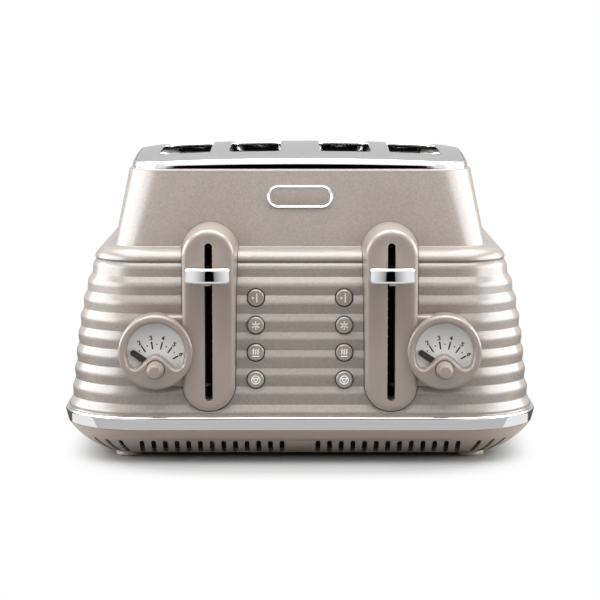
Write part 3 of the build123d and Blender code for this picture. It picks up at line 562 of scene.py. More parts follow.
# Finishes: scale of the pattern, colour and its spread, two roughnesses, metallic
TAUPE = (0.262, 0.217, 0.184)
FLAKE_TAUPE = (0.198, 0.164, 0.138)
paint = make_material("Casing paint", 950.0, FLAKE_TAUPE, 0.16, (0.36, 0.48), group=FLAKE, bump=0.04,
                      coat=0.7, coat_roughness=0.2, ior=1.85)
gloss_paint = make_material("Housing paint", 500.0, TAUPE, 0.04, (0.38, 0.44), coat=0.7, coat_roughness=0.08,
                            ior=1.7)
knob_paint = make_material("Knob paint", 700.0, TAUPE, 0.05, (0.36, 0.46), bump=0.02, coat=0.4,
                           coat_roughness=0.15, ior=1.7)
tub_plastic = make_material("Tub plastic", 1400.0, (0.46, 0.385, 0.325), 0.12, (0.42, 0.55), 0.15, bump=0.08)
chrome = make_material("Chrome plate", 60.0, (0.78, 0.78, 0.79), 0.02, (0.03, 0.07), 1.0)
top_steel = make_material("Brushed top steel", 90.0, (0.64, 0.64, 0.65), 0.05, (0.14, 0.24), 1.0,
                          stretch=14.0, bump=0.02)
# Inner sheet steel has a near-black colour: painted shade, so that the inside of the toast slots reads dark
inner_steel = make_material("Sheet steel painted as shade", 120.0, (0.03, 0.03, 0.03), 0.15, (0.45, 0.6), 0.9, stretch=4.0)
bright_wire = make_material("Bright wire", 500.0, (0.75, 0.75, 0.75), 0.1, (0.18, 0.32), 0.5)
dial_card = make_material("Dial card", 700.0, (0.88, 0.88, 0.87), 0.03, (0.5, 0.6))
dial_ink = make_material("Dial ink", 900.0, (0.025, 0.025, 0.025), 0.3, (0.5, 0.6))
needle_black = make_material("Needle black", 600.0, (0.016, 0.015, 0.014), 0.2, (0.4, 0.5))
mark_white = make_material("Button marks", 900.0, (0.80, 0.78, 0.75), 0.04, (0.45, 0.55))
black_plastic = make_material("Black plastic", 600.0, (0.02, 0.02, 0.02), 0.3, (0.4, 0.55))
heater_mica = make_material("Heater mica", 80.0, (0.30, 0.25, 0.19), 0.25, (0.4, 0.6), 0.1)
heater_ribbon = make_material("Heater ribbon", 400.0, (0.30, 0.28, 0.27), 0.2, (0.4, 0.6), 0.8)
board_green = make_material("Circuit board", 200.0, (0.03, 0.13, 0.06), 0.2, (0.3, 0.45))
magnet_iron = make_material("Magnet iron", 300.0, (0.11, 0.09, 0.07), 0.3, (0.45, 0.6), 0.5)

SLOT_MATERIALS = {
    "casing_paint": paint, "knob_paint": knob_paint, "tub_plastic": tub_plastic, "chrome": chrome,
    "top_steel": top_steel, "inner_steel": inner_steel, "bright_wire": bright_wire, "dial_card": dial_card,
    "needle_black": needle_black, "heater_mica": heater_mica, "heater_ribbon": heater_ribbon,
    "board_green": board_green, "black_plastic": black_plastic, "magnet_iron": magnet_iron,
}
slot_of = {part["node"]: part["material_slot"] for part in frame["record"]["subparts"]}
body_of = {node: body for body, nodes in frame["record"]["behaviour"]["bodies"].items() for node in nodes}
for node, thing in frame["nodes"].items():
    for holder in thing.material_slots:
        holder.material = SLOT_MATERIALS[slot_of[node]]


# Lever housings

housing_ends = (housing_low[2] + housing_radius, housing_high[2] - housing_radius)
lever_slot_ends = (housing_low[2] + lever_slot_foot + lever_slot_half,
                   housing_high[2] - lever_slot_head - lever_slot_half)
face_radius = housing_radius - math.tan(housing_draft) * (housing_back - housing_face)


def housing_block(side, spread):
    """Closed drafted block of a lever housing, grown by a spread: two stadiums with their ends drawn in."""
    rows = [(0.0, housing_back), (housing_radius + spread, housing_back),
            (face_radius + spread, cutter_front), (0.0, cutter_front)]
    return surface(stadium_grid(side * lever_x, [(*housing_ends, *row) for row in rows]))


def pod_block(side, spread):
    """Closed drafted drum of a dial pod, grown by a spread."""
    near, far = pod_radius_at(cutter_front) + spread, pod_radius_at(pod_back) + spread
    return drum(side * dial_x, dial_z, near, far, cutter_front, pod_back)


def web_section(spread):
    """Section of the web as (up, setback): two drafted sides and a flat front with rounded edges."""
    near = pod_radius_at(web_setback) - web_margin + spread
    far = pod_radius_at(pod_back) - web_margin + spread
    corners = [(-far, pod_back), (-near, web_setback), (near, web_setback), (far, pod_back)]
    return softened(corners, (web_edge, web_edge), 6)


def web_block(side, spread):
    """Closed block between the pod and the housing: a prism of the web's section that runs sideways."""
    middle = (0.0, (pod_back + web_setback) / 2)
    sideways = prism(web_section(spread), middle, lever_x * side, dial_x * side)
    return surface(upright(sideways[..., [2, 0, 1]], 0.0, dial_z), flip=side > 0)


def web_sheet(side):
    """Visible web: its section carried sideways from inside the housing to the round wall of the pod."""
    up, back = resampled(web_section(0.0), web_steps).T
    wall = pod_radius_at(back) - web_overlap
    end = dial_x - np.sqrt(np.maximum(wall**2 - up**2, 0.0))
    across = np.stack((np.full(len(up), lever_x + web_root), end), axis=1) * side
    grid = gridded(across, up[:, None], back[:, None])
    return surface(upright(grid, 0.0, dial_z), wrap_u=False, flip=side > 0)


def lever_housing(side):
    """One housing: slot walls, flat face, rolled edge and drafted flank as rows of stadiums, pod and web.

    Where the flank would stand inside the pod, it is drawn back to a circle round the dial.
    """
    turn = np.linspace(0, QUARTER, 7)
    walls = [(lever_slot_half, lever_slot_depth), (lever_slot_half, housing_face + lever_slot_roll),
             (lever_slot_half + lever_slot_break, housing_face + lever_slot_break),
             (lever_slot_half + lever_slot_roll, housing_face)]
    roll = [(face_radius - housing_edge + housing_edge * math.sin(a),
             housing_face + housing_edge * (1 - math.cos(a))) for a in turn]
    rows = [(*lever_slot_ends, *wall) for wall in walls]
    rows += [(*housing_ends, *row) for row in roll + [(housing_radius, housing_back)]]
    grid = stadium_grid(side * lever_x, rows)
    rise = grid[..., 2] - dial_z
    inside = np.hypot(grid[..., 0] - side * dial_x, rise) < pod_hollow
    edge = side * (dial_x - np.sqrt(np.maximum(pod_hollow**2 - rise**2, 0.0)))
    grid[..., 0] = np.where(inside, edge, grid[..., 0])
    pod_wall = [(pod_radius - pod_ledge, bezel_back), (pod_radius - pod_break, bezel_back),
                (pod_radius, bezel_back + pod_break), (pod_radius_at(pod_back), pod_back)]
    pod = turned(side * dial_x, dial_z, pod_wall, pod_steps)
    return joined(surface(grid, flip=True), pod, web_sheet(side))


for side, name in SIDES:
    make_piece(f"lever_housing_{name}_shell", lever_housing(side), gloss_paint, "casing", "casing_paint",
               f"lever_housing_{name}")


# Ribbed body, upper shell and chrome band

button_hole_radius = 6.7
button_hole_ends = (-3.0, 40.0)
button_hole_steps = 40
casing_path = casing_outline(corner_radius)


def rib_profile():
    """Closed profile of the ribbed body: slopes, small round noses, sharp creases and a plain inner wall."""
    pitch = (shoulder_z - band_top - rib_first_rise - rib_last_drop) / (rib_count - 1)
    points, reaches = [(flank_inset_at(band_top) + rib_valley_depth, band_top)], []
    for rib in range(rib_count):
        nose_z = band_top + rib_first_rise + rib * pitch
        if rib:
            crease_z = nose_z - pitch + rib_slope_height
            points.append((flank_inset_at(crease_z) + rib_valley_depth, crease_z))
            reaches.append(rib_crease_reach)
        points.append((flank_inset_at(nose_z), nose_z))
        reaches.append(rib_nose_reach)
    points.append((flank_inset_at(shoulder_z) + shoulder_step, shoulder_z))
    outer = softened(points, reaches)
    height = np.linspace(shoulder_z, band_top, 10)
    inner = np.stack((flank_inset_at(height) + rib_wall, height), axis=1)
    return np.concatenate((outer, inner))


def button_holes():
    """Closed drums where the buttons pass through the ribbed body."""
    middles = [node_middle(f"button_{row}_{name}") for _, name in SIDES for row in BUTTON_ROWS]
    size = (button_hole_radius, button_hole_radius, *button_hole_ends, button_hole_steps)
    return joined(*[drum(x, z, *size) for x, _, z in middles])


def shell_profile():
    """Closed profile of the upper shell: a quarter ellipse for the bead, a tapered wall and an inner wall."""
    head = shell_top - shell_lip
    slope = (shell_top_inset - shell_foot_inset) / (shell_top - shoulder_z - bead_height)
    foot = shell_foot_inset - slope * (bead_height - bead_crest)
    nose = flank_inset_at(shoulder_z) + bead_tuck
    turn = np.linspace(0, QUARTER, 15)
    bead = np.stack((foot - (foot - nose) * np.cos(turn),
                     shoulder_z + bead_foot + (bead_crest - bead_foot) * np.sin(turn)), axis=1)
    corners = [bead[-2], bead[-1], (shell_top_inset - shell_edge, head - shell_edge_drop),
               (shell_top_inset + shell_edge, head), (shell_top_inset + shell_rim, head)]
    wall = softened(corners, shell_edge_reaches, 7)
    inner = [(shell_top_inset + shell_wall, head), (foot + shell_wall, bead[-1, 1] - shell_wall_drop),
             (nose + rib_wall, shoulder_z)]
    return np.concatenate(([(nose + shoulder_step, shoulder_z)], bead[:-1], wall[1:], inner))


def shell_grid():
    """Shell profile carried round the casing, with corners that widen from the shoulder up to the rim."""
    profile = shell_profile()
    share = np.clip((profile[:, 1] - shoulder_z - bead_crest) / (shell_top - shoulder_z - bead_crest), 0, 1)
    low, high = carried(profile, casing_path), carried(profile, casing_outline(shell_corner_radius))
    return low + (high - low) * share[None, :, None]


def band_profile():
    """Closed profile of the chrome band: a face that leans in towards the tub and a rolled upper edge."""
    corners = [(band_lean + band_foot_in, tub_top), (band_lean, tub_top + band_foot_rise),
               (0.0, band_top - band_roll_drop), (band_roll_in, band_top), (band_ledge, band_top)]
    outer = softened(corners, band_edge_reaches, 6)
    return np.concatenate((outer, [(band_depth, band_top), (band_depth, tub_top)]))


body_cutters = [joined(*[block(side, seam) for side, _ in SIDES])
                for block in (housing_block, pod_block, web_block)]
ribbed_body = make_object("ribbed_body_skin", surface(carried(rib_profile(), casing_path), wrap_v=True))
cut(ribbed_body, *body_cutters, button_holes())
finish_piece(ribbed_body, paint, "casing", "casing_paint", "ribbed_body")
upper_shell = make_object("upper_shell_skin", surface(shell_grid(), wrap_v=True))
cut(upper_shell, body_cutters[0])
finish_piece(upper_shell, paint, "casing", "casing_paint", "upper_shell")
make_piece("chrome_band_skin", surface(carried(band_profile(), casing_path), wrap_v=True), chrome, "casing",
           "chrome", "chrome_band")


# Top plate, its rim and the lips of the toast slots

rim_roll = 2.4
rim_start = -0.45
rim_hang = 0.6
rim_foot = shell_top - shell_lip - rim_hang
sheet_gap = 0.35
sheet_groove = 1.2
sheet_inner_ring = 0.08
sheet_thickness = 1.0
slot_half_width = 19.0
slot_half_length = 72.5
slot_radius = 6.0
slot_spacing = 52.0
slot_front = 84.0
slot_cut_below = 20.0
slot_cut_above = 5.0
pair_offset = 5.5
pair_x = lever_x - pair_offset
lip_roll = 1.1
lip_depth = 2.0
lip_sheet = 0.7
slot_middles = [(side * pair_x + part * slot_spacing / 2, front + slot_front + slot_half_length)
                for side, _ in SIDES for part in (-1, 1)]
plate_path = rounded_rectangle(plate_half_width, plate_half_depth,
                               shell_corner_radius - shell_top_inset - plate_step, (0.0, middle_y), 24, 24)


def rim_grid():
    """Rim of the top plate: an arc from under the overhang up to the height of the crown at each point."""
    points, normals = plate_path
    turn = np.linspace(rim_start, QUARTER, 14)
    rise = (np.sin(turn) - np.sin(turn[0])) / (1 - np.sin(turn[0]))
    edge = points - rim_roll * normals
    height = crown_at(edge[:, 0], edge[:, 1]) - rim_foot
    plan = inset_plan(plate_path, rim_roll * (1 - np.cos(turn)))
    return lifted(plan, rim_foot + height[:, None] * rise[None, :])


def plate_grid():
    """Crowned sheet inside the rim: the outline drawn in to the middle, each point lifted to the crown.

    A groove runs round it, where the first ring is sunk.
    """
    points, normals = plate_path
    edge = points - (rim_roll + sheet_gap) * normals
    centre = np.array((0.0, middle_y))
    share = np.concatenate((np.linspace(1.0, sheet_inner_ring, 16), [0.0]))
    plan = centre + (edge - centre)[:, None, :] * share[None, :, None]
    grid = lifted(plan, crown_at(plan[..., 0], plan[..., 1]))
    return np.concatenate((grid[:, :1] - (0.0, 0.0, sheet_groove), grid), axis=1)


def slot_prisms(spread):
    """Closed upright prisms of the toast slots, grown by a spread."""
    prisms = []
    for middle in slot_middles:
        size = (slot_half_width + spread, slot_half_length + spread, slot_radius + spread)
        outline, _ = rounded_rectangle(*size, middle, 8, 2)
        prisms.append(surface(prism(outline, middle, shell_top - slot_cut_below, crown_z + slot_cut_above)))
    return joined(*prisms)


def slot_lips():
    """Lips of the toast slots: a quarter roll from the crown into the slot, a skirt and its inside."""
    turn = np.linspace(0, QUARTER, 8)
    outset = np.concatenate((lip_roll * (1 - np.sin(turn)), [0.0, lip_sheet, lip_sheet]))
    drop = np.concatenate((lip_roll * (1 - np.cos(turn)), [lip_depth, lip_depth, lip_roll]))
    lips = []
    for middle in slot_middles:
        path = rounded_rectangle(slot_half_width, slot_half_length, slot_radius, middle, 10, 12)
        plan = inset_plan(path, -outset)
        crown = crown_at(plan[:, 0, 0], plan[:, 0, 1])
        lips.append(surface(lifted(plan, crown[:, None] - drop[None, :])))
    return joined(*lips)


make_piece("top_rim", surface(rim_grid()), chrome, "casing", "chrome", "top_plate")
top_plate = make_object("top_plate_sheet", surface(plate_grid()))
solid = top_plate.modifiers.new("sheet", "SOLIDIFY")
solid.thickness = sheet_thickness * MM
solid.offset = -1.0
cut(top_plate, slot_prisms(lip_roll))
finish_piece(top_plate, top_steel, "casing", "top_steel", "top_plate")
make_piece("slot_lips", slot_lips(), top_steel, "casing", "top_steel")


# Bare badge, as rows of (distance inside its outline, height)

badge_slope = math.atan((shell_top_inset - shell_foot_inset) / (shell_top - shoulder_z - bead_height))
badge_z = node_middle("badge_frame")[2]
badge_radius = 8.35
badge_reach = node_half("badge_frame")[0] - badge_radius
badge_ridge = ((0.0, 0.0), (0.0, 0.9), (0.35, 1.45), (1.0, 1.7), (1.6, 1.45), (2.0, 0.9), (2.0, 0.0))
badge_field = ((1.9, 0.0), (1.9, 0.8), (4.0, 0.95), (badge_radius, 1.0))


def badge_outline(radius):
    """Lying stadium of the badge at a radius: half circles at both ends."""
    angle = np.linspace(-QUARTER, QUARTER, 25)
    right = np.stack((badge_reach + radius * np.cos(angle), radius * np.sin(angle)), axis=1)
    return np.concatenate((right, -right))


def on_badge(rows):
    """Badge outlines stacked outwards from the slope of the upper shell, at the badge's height."""
    grid = np.stack([lifted(badge_outline(badge_radius - inset), height) for inset, height in rows], axis=1)
    up = np.array((0.0, math.sin(badge_slope), math.cos(badge_slope)))
    out = np.array((0.0, -math.cos(badge_slope), math.sin(badge_slope)))
    inset = shell_foot_inset + math.tan(badge_slope) * (badge_z - shoulder_z - bead_height)
    origin = np.array((0.0, front + inset, badge_z))
    across = np.array((1.0, 0.0, 0.0))
    return surface(origin + grid[..., :1] * across + grid[..., 1:2] * up + grid[..., 2:] * out)


make_piece("badge_ridge", on_badge(badge_ridge), chrome, "casing", "chrome", "badge_frame")
make_piece("badge_field", on_badge(badge_field), paint, "casing", "casing_paint", "badge_plate")


# Browning dials

window_radius = 20.5
window_end = math.radians(-18.0)
lobe_x = 14.4
lobe_z = -11.4
hump_z = -1.6
hump_power = 0.75
window_flare = 2.8
window_roll = 3.4
bezel_roll = 1.9
bezel_roll_steps = 3
card_radius = node_half("dial_face_right")[0]
card_thickness = 0.8
knob_hole = 6.8
knob_hole_margin = 1.0
knob_hole_steps = 48
knob_radius = 6.3
knob_tip = 4.5
knob_steps = 72
knob_front = node_setbacks("dial_knob_right")[0]
knob_profile = [(0.0, knob_front), (knob_tip - 1.2, knob_front + 0.02), (knob_tip - 0.4, knob_front + 0.2),
                (knob_tip, knob_front + 0.8), (knob_radius - 0.2, bezel_front - 5.2),
                (knob_radius, bezel_front - 4.2), (knob_radius, bezel_back)]
needle_angle = 146.0
needle_length = 21.6
needle_half = 2.2
needle_front, needle_back = node_setbacks("dial_needle_right")
needle_section = ((1.0, 0.5), (0.85, 0.1), (0.0, 0.0), (-0.85, 0.1), (-1.0, 0.5), (-1.0, 1.0), (1.0, 1.0))
dial_angles = (146.0, 123.4, 99.8, 76.2, 52.4, 28.6)
tick_inner = 13.6
tick_outer = 19.2
tick_width = 1.1
number_reach = (19.6, 21.6, 21.8, 22.0, 21.4, 20.4)
number_clear = 2.4
digit_half = 1.35
digit_width = 0.72
digit_steps = 40
DIGIT_STROKES = {
    1: ((-0.45, 0.6), (0.0, 1.0), (0.0, -1.0)),
    2: ((-0.6, 0.55), (-0.45, 0.88), (0.0, 1.0), (0.45, 0.88), (0.6, 0.5), (0.4, 0.1), (-0.6, -1.0),
        (0.65, -1.0)),
    3: ((-0.55, 0.8), (-0.1, 1.0), (0.4, 0.88), (0.55, 0.5), (0.35, 0.15), (-0.1, 0.08), (0.4, -0.02),
        (0.62, -0.45), (0.45, -0.85), (-0.05, -1.0), (-0.6, -0.8)),
    4: ((0.3, -1.0), (0.3, 1.0), (-0.65, -0.4), (0.7, -0.4)),
    5: ((0.55, 1.0), (-0.42, 1.0), (-0.52, 0.1), (0.0, 0.25), (0.5, 0.0), (0.6, -0.45), (0.35, -0.88),
        (-0.1, -1.0), (-0.6, -0.8)),
    6: ((0.4, 1.0), (-0.2, 0.6), (-0.55, 0.0), (-0.6, -0.45), (-0.35, -0.88), (0.0, -1.0), (0.4, -0.88),
        (0.6, -0.4), (0.4, -0.02), (0.0, 0.1), (-0.4, -0.1), (-0.58, -0.4)),
}
dot_radius = 0.55
dot_reach = 17.0
dot_steps = 16
ink_height = 0.06


def window_outline():
    """Dial window, anticlockwise: a circle above, two round lobes and a raised cosine over the knob below."""
    turn = np.linspace(window_end, np.pi - window_end, 80)
    circle = np.stack((window_radius * np.cos(turn), window_radius * np.sin(turn)), axis=1)
    end_x, end_z = circle[0]
    quarter = np.linspace(0, QUARTER, 12)[1:-1]
    lobe = np.stack((lobe_x + (end_x - lobe_x) * np.cos(quarter),
                     lobe_z + (end_z - lobe_z) * (1 - np.sin(quarter))), axis=1)
    x = np.linspace(-lobe_x, lobe_x, 61)
    wave = (0.5 + 0.5 * np.cos(np.pi * x / lobe_x)) ** hump_power
    sill = np.stack((x, lobe_z + (hump_z - lobe_z) * wave), axis=1)
    return np.concatenate((circle, lobe * (-1, 1), sill, lobe[::-1]))


def flat_plate(outlines, thickness, roll):
    """Sheet filled between outlines, with round edges, as (across, up, setback), its front at setback 0."""
    curve = bpy.data.curves.new("plate", "CURVE")
    curve.dimensions = "2D"
    curve.fill_mode = "BOTH"
    curve.extrude = (thickness / 2 - roll) * MM
    curve.bevel_depth = roll * MM
    curve.bevel_resolution = bezel_roll_steps
    curve.offset = -roll * MM
    for outline in outlines:
        spline = curve.splines.new("POLY")
        spline.points.add(len(outline) - 1)
        flat = np.column_stack((outline * MM, np.zeros(len(outline)), np.ones(len(outline))))
        spline.points.foreach_set("co", flat.ravel())
        spline.use_cyclic_u = True
    thing = add_object("plate", curve)
    mesh = evaluated_mesh(thing)
    bpy.data.objects.remove(thing)
    points, faces = mesh_shape(mesh)
    bpy.data.meshes.remove(mesh)
    return lifted(points, thickness / 2 - points[:, 2]), faces


def dial_bezel(side):
    """Bezel: a sheet with round edges, bored for the knob, and a wall sloping from its window to the card."""
    spot = (side * dial_x, dial_z)
    window = window_outline()
    path = (window, line_normals(window))
    opened = path[0] + (window_flare - bezel_roll) * path[1]
    plate = flat_plate([circle_points(pod_radius, pod_steps), opened], bezel_back - bezel_front, bezel_roll)
    sheet = make_object("sheet", placed(plate, *spot, bezel_front))
    cut(sheet, drum(side * dial_x, pivot_z, knob_hole, knob_hole, bezel_front - knob_hole_margin,
                    bezel_back + knob_hole_margin, knob_hole_steps))
    sheet_shape = mesh_shape(sheet.data)
    bpy.data.objects.remove(sheet)
    turn = np.linspace(0, QUARTER, 9)
    roll = np.stack((window_flare * (np.sin(turn) - 1),
                     bezel_front + window_roll * (1 - np.cos(turn))), axis=1)
    wall = np.concatenate((roll, [(0.0, dial_face_front)]))
    return joined(sheet_shape, placed(surface(carried(wall, path)), *spot))


def polar(radius, degrees):
    """Point at a radius and an angle from the pivot, relative to the pod's middle."""
    angle = math.radians(degrees)
    return np.array((radius * math.cos(angle), pivot_z - dial_z + radius * math.sin(angle)))


def number_shape(number, degrees, reach):
    """One number of the scale: a flat bar along its strokes, upright along its radius."""
    strokes = resampled(np.array(DIGIT_STROKES[number]), digit_steps) * digit_half
    return ribbon(rotated(strokes, degrees - 90.0) + polar(reach, degrees), digit_width, 0.0, -ink_height)


def dial_marks():
    """Scale about the pod's middle: six ticks and numbers, and a dot between neighbours."""
    shapes = []
    for number, (degrees, reach) in enumerate(zip(dial_angles, number_reach), start=1):
        tick = (polar(tick_inner, degrees), polar(min(tick_outer, reach - number_clear), degrees))
        shapes += [ribbon(tick, tick_width, 0.0, -ink_height), number_shape(number, degrees, reach)]
    for before, after in zip(dial_angles, dial_angles[1:]):
        spot = polar(dot_reach, (before + after) / 2)
        rows = ((0.0, -ink_height), (dot_radius, -ink_height), (dot_radius, 0.0))
        grid = np.stack([lifted(circle_points(r, dot_steps) + spot, level) for r, level in rows], axis=1)
        shapes.append(surface(grid, flip=True))
    return joined(*shapes)


def needle_shape():
    """Pointer about the pod's middle: a ridged section carried along its angle, with a round tip."""
    reach = needle_length * np.sin(np.linspace(0, 1, 24) * QUARTER)
    tip = np.clip((needle_length - reach) / needle_half, 0, 1)
    half = needle_half * np.sqrt(1 - (1 - tip) ** 2)
    across, level = np.array(needle_section).T
    bar = rotated(gridded(reach[:, None], half[:, None] * across[None, :]), needle_angle)
    grid = lifted(bar + (0.0, pivot_z - dial_z), level * (needle_back - needle_front) + needle_front)
    return surface(grid, wrap_u=False, wrap_v=True)


card_profile = [(0.0, dial_face_front), (card_radius, dial_face_front),
                (card_radius, dial_face_front + card_thickness)]
for side, name in SIDES:
    spot = (side * dial_x, dial_z)
    make_piece(f"dial_bezel_{name}_ring", dial_bezel(side), gloss_paint, "casing", "casing_paint",
               f"dial_bezel_{name}")
    make_piece(f"dial_card_{name}", turned(*spot, card_profile), dial_card, "casing", "dial_card",
               f"dial_face_{name}")
    make_piece(f"dial_scale_{name}", placed(dial_marks(), *spot, dial_face_front), dial_ink, "casing",
               "dial_card")
    make_piece(f"dial_pointer_{name}", placed(needle_shape(), *spot), needle_black, f"dial_{name}",
               "needle_black", f"dial_needle_{name}")
    make_piece(f"dial_grip_{name}", turned(side * dial_x, pivot_z, knob_profile, knob_steps), knob_paint,
               f"dial_{name}", "knob_paint", f"dial_knob_{name}")


# Lever handles and their necks

handle_half, _, handle_tall = node_half("lever_handle_right")
handle_front, handle_back = handle_low[1], handle_high[1]
handle_bow = 34.0
handle_edge = 1.9
handle_end = 2.4
neck_half = (2.0, 2.4)
neck_round = 0.5
neck_drop = 1.6
neck_inside = 6.0
neck_back = 8.0


def handle_bar(side):
    """Handle: a rounded section carried across, bowed on a circle in front, its ends drawn in by an arc."""
    ends = handle_half - handle_end + handle_end * np.sin(np.linspace(0, QUARTER, 7))
    flat = np.linspace(-1, 1, 25)[1:-1] * (handle_half - handle_end)
    across = np.concatenate((-ends[::-1], flat, ends))[:, None]
    over = np.clip((np.abs(across) - handle_half + handle_end) / handle_end, 0, 1)
    edge = handle_edge - handle_edge * (1 - np.sqrt(np.maximum(1 - over**2, 0.0)))
    near = handle_front + handle_bow - np.sqrt(handle_bow**2 - across**2)
    section, normal = rounded_rectangle(1.0, 1.0, 0.0, corner_steps=6, side_steps=4)
    half_y = (handle_back - near) / 2 - handle_edge
    y = (handle_back + near) / 2 + section[:, 0] * half_y + edge * normal[:, 0]
    z = lever_z + section[:, 1] * (handle_tall - handle_edge) + edge * normal[:, 1]
    return tube(gridded(side * lever_x + across, y, z))


def lever_neck(side):
    """Neck behind a handle: a prism of a small rounded bar that runs back into the slot."""
    outline, _ = rounded_rectangle(*neck_half, neck_round, corner_steps=4, side_steps=2)
    bar = prism(outline, (0.0, 0.0), handle_front + neck_inside - front, neck_back)
    return surface(upright(bar, side * lever_x, handle_low[2] - neck_drop + neck_half[1]), flip=True)


for side, name in SIDES:
    make_piece(f"lever_handle_{name}_bar", handle_bar(side), chrome, f"lever_{name}", "chrome",
               f"lever_handle_{name}")
for side, name in SIDES:
    make_piece(f"lever_neck_{name}", lever_neck(side), bright_wire, f"lever_{name}", "bright_wire")


# Push buttons and their marks

button_radius = 6.0
button_steps = 48
button_edge = ((1.6, 0.05), (0.7, 0.2), (0.15, 0.7), (0.0, 1.4))
mark_lift = 0.05
mark_width = 0.8
one_side_bar = ((0.7, -3.2), (0.7, 3.2))
one_side_arrow = ((-2.4, 0.9), (-1.2, 0.0), (-2.4, -0.9))
star_angles = (90.0, 30.0, 150.0)
star_reach = 3.0
wave_middles = (-1.7, 0.0, 1.7)
wave_ends = (-1.2, 2.8)
wave_swing = 0.32
wave_rate = 3.2
wave_base = ((-2.6, -2.6), (2.6, -2.6))
stop_ring = 2.9
stop_triangle = np.array(((-1.9, 1.1), (1.9, 1.1), (0.0, -2.2)))


def button_lines(row):
    """Lines of one row's mark about the button's middle, open ones and closed ones."""
    if row == "one_side":
        return [one_side_bar], [one_side_arrow]
    if row == "defrost":
        rays = [star_reach * np.array((math.cos(a), math.sin(a))) for a in np.radians(star_angles)]
        return [(ray, -ray) for ray in rays], []
    if row == "reheat":
        rise = np.linspace(*wave_ends, 22)
        waves = [np.stack((x + wave_swing * np.sin(rise * wave_rate), rise), axis=1) for x in wave_middles]
        return waves + [wave_base], []
    share = np.linspace(0, 1, 8)[:-1, None]
    sides = [a + (b - a) * share for a, b in zip(stop_triangle, np.roll(stop_triangle, -1, axis=0))]
    return [], [circle_points(stop_ring, 40), np.concatenate(sides)]


def button_mark(row):
    """White mark of one button row: flat bars along its lines."""
    opened, closed = button_lines(row)
    bars = [ribbon(line, mark_width, 0.0, -mark_lift) for line in opened]
    bars += [ribbon(line, mark_width, 0.0, -mark_lift, closed=True) for line in closed]
    return joined(*bars)


for _, name in SIDES:
    for row in BUTTON_ROWS:
        button = f"button_{row}_{name}"
        x, _, z = node_middle(button)
        start, end = node_setbacks(button)
        edge = [(button_radius - inset, start + back) for inset, back in button_edge]
        cap = turned(x, z, [(0.0, start), *edge, (button_radius, end)], button_steps)
        make_piece(f"{button}_cap", cap, gloss_paint, f"{button}_body", "casing_paint", button)
        make_piece(f"{button}_mark", placed(button_mark(row), x, z, start), mark_white, f"{button}_body",
                   "casing_paint")


# Pieces whose CAD shape is kept, shaded smooth

kept_nodes = ["base_tub", "base_floor", "feet", "crumb_tray_left", "crumb_tray_right", "cord_gland",
              "bread_racks_left", "bread_racks_right"]
kept_nodes += [f"bread_guides_{name}_{hand}_hand" for _, name in SIDES for _, hand in SIDES]
for node in kept_nodes:
    piece = merged_object(node + "_skin", frame["nodes"][node].data.copy(), 2 * MERGE_REACH)
    finish_piece(piece, SLOT_MATERIALS[slot_of[node]], body_of[node], slot_of[node], node)


# Lift springs

coil_wire = 0.8
coil_turns = 14
coil_turn_steps = 24
coil_ring_steps = 8


def lift_coil(low, high):
    """Coil spring: a ring of wire carried along a helix that rises evenly inside a box."""
    turn = np.linspace(0, 2 * np.pi * coil_turns, coil_turns * coil_turn_steps + 1)[:, None]
    ring = np.linspace(0, 2 * np.pi, coil_ring_steps, endpoint=False)[None, :]
    reach = (high[0] - low[0]) / 2 - coil_wire + coil_wire * np.cos(ring)
    rise = (high[2] - low[2] - 2 * coil_wire) * turn / turn[-1] + low[2] + coil_wire
    x = (low[0] + high[0]) / 2 + reach * np.cos(turn)
    y = (low[1] + high[1]) / 2 + reach * np.sin(turn)
    return tube(gridded(x, y, rise + coil_wire * np.sin(ring)))


for _, name in SIDES:
    low, high = node_box(f"lift_spring_{name}")
    coil = make_piece(f"lift_spring_{name}_coil", lift_coil(low, high), bright_wire, "casing", "bright_wire",
                      f"lift_spring_{name}")
    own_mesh(coil)


# Stage, light and camera, in metres

floor_reach = 12.0
floor_shown = 0.37
floor_bounce = 0.22
floor_fade = (0.16, 0.205)
floor_squeeze = 1.15
world_bounce = 0.2
flag_half = 0.9
flag_ramp = (0.24, 0.85)
flag_step = 0.3
flag_near = -0.75
flag_far = -2.3
flag_top = 0.70
flag_lift = 0.002
flag_side = (0.178, 0.5)
flag_side_ends = (-0.04, 0.6)
flag_side_level = 0.12
card_lift = 0.001
card_floor_half = 0.4
card_floor_ends = (-0.3, -0.13)
card_floor_level = 0.6
card_half = 3.0
card_near = 0.2
card_far = 2.6
card_foot = 0.01
card_top = 1.3
card_level = 0.6
card_low_level = 0.5
overhead_power = 34.0
side_power = 31.0
fill_power = 5.0
camera_place = (0.0, -1.8073, 0.3164)
camera_tilt = 6.753
camera_lens = 142.1
camera_sensor = 36.0


def ray_mask(tree):
    """Output that is 1 for what the eye, a mirror or a clear piece sees, and 0 for light that is bounced."""
    path = add_node(tree, "LightPath")
    total = path.outputs["Is Camera Ray"]
    for label in ("Is Glossy Ray", "Is Transmission Ray"):
        total = add_node(tree, "Math", {0: total, 1: path.outputs[label]}, operation="MAXIMUM").outputs[0]
    return total


def bare_material(name):
    """Material without nodes, and its tree."""
    material = bpy.data.materials.new(name)
    material.use_nodes = True
    material.node_tree.nodes.clear()
    return material, material.node_tree


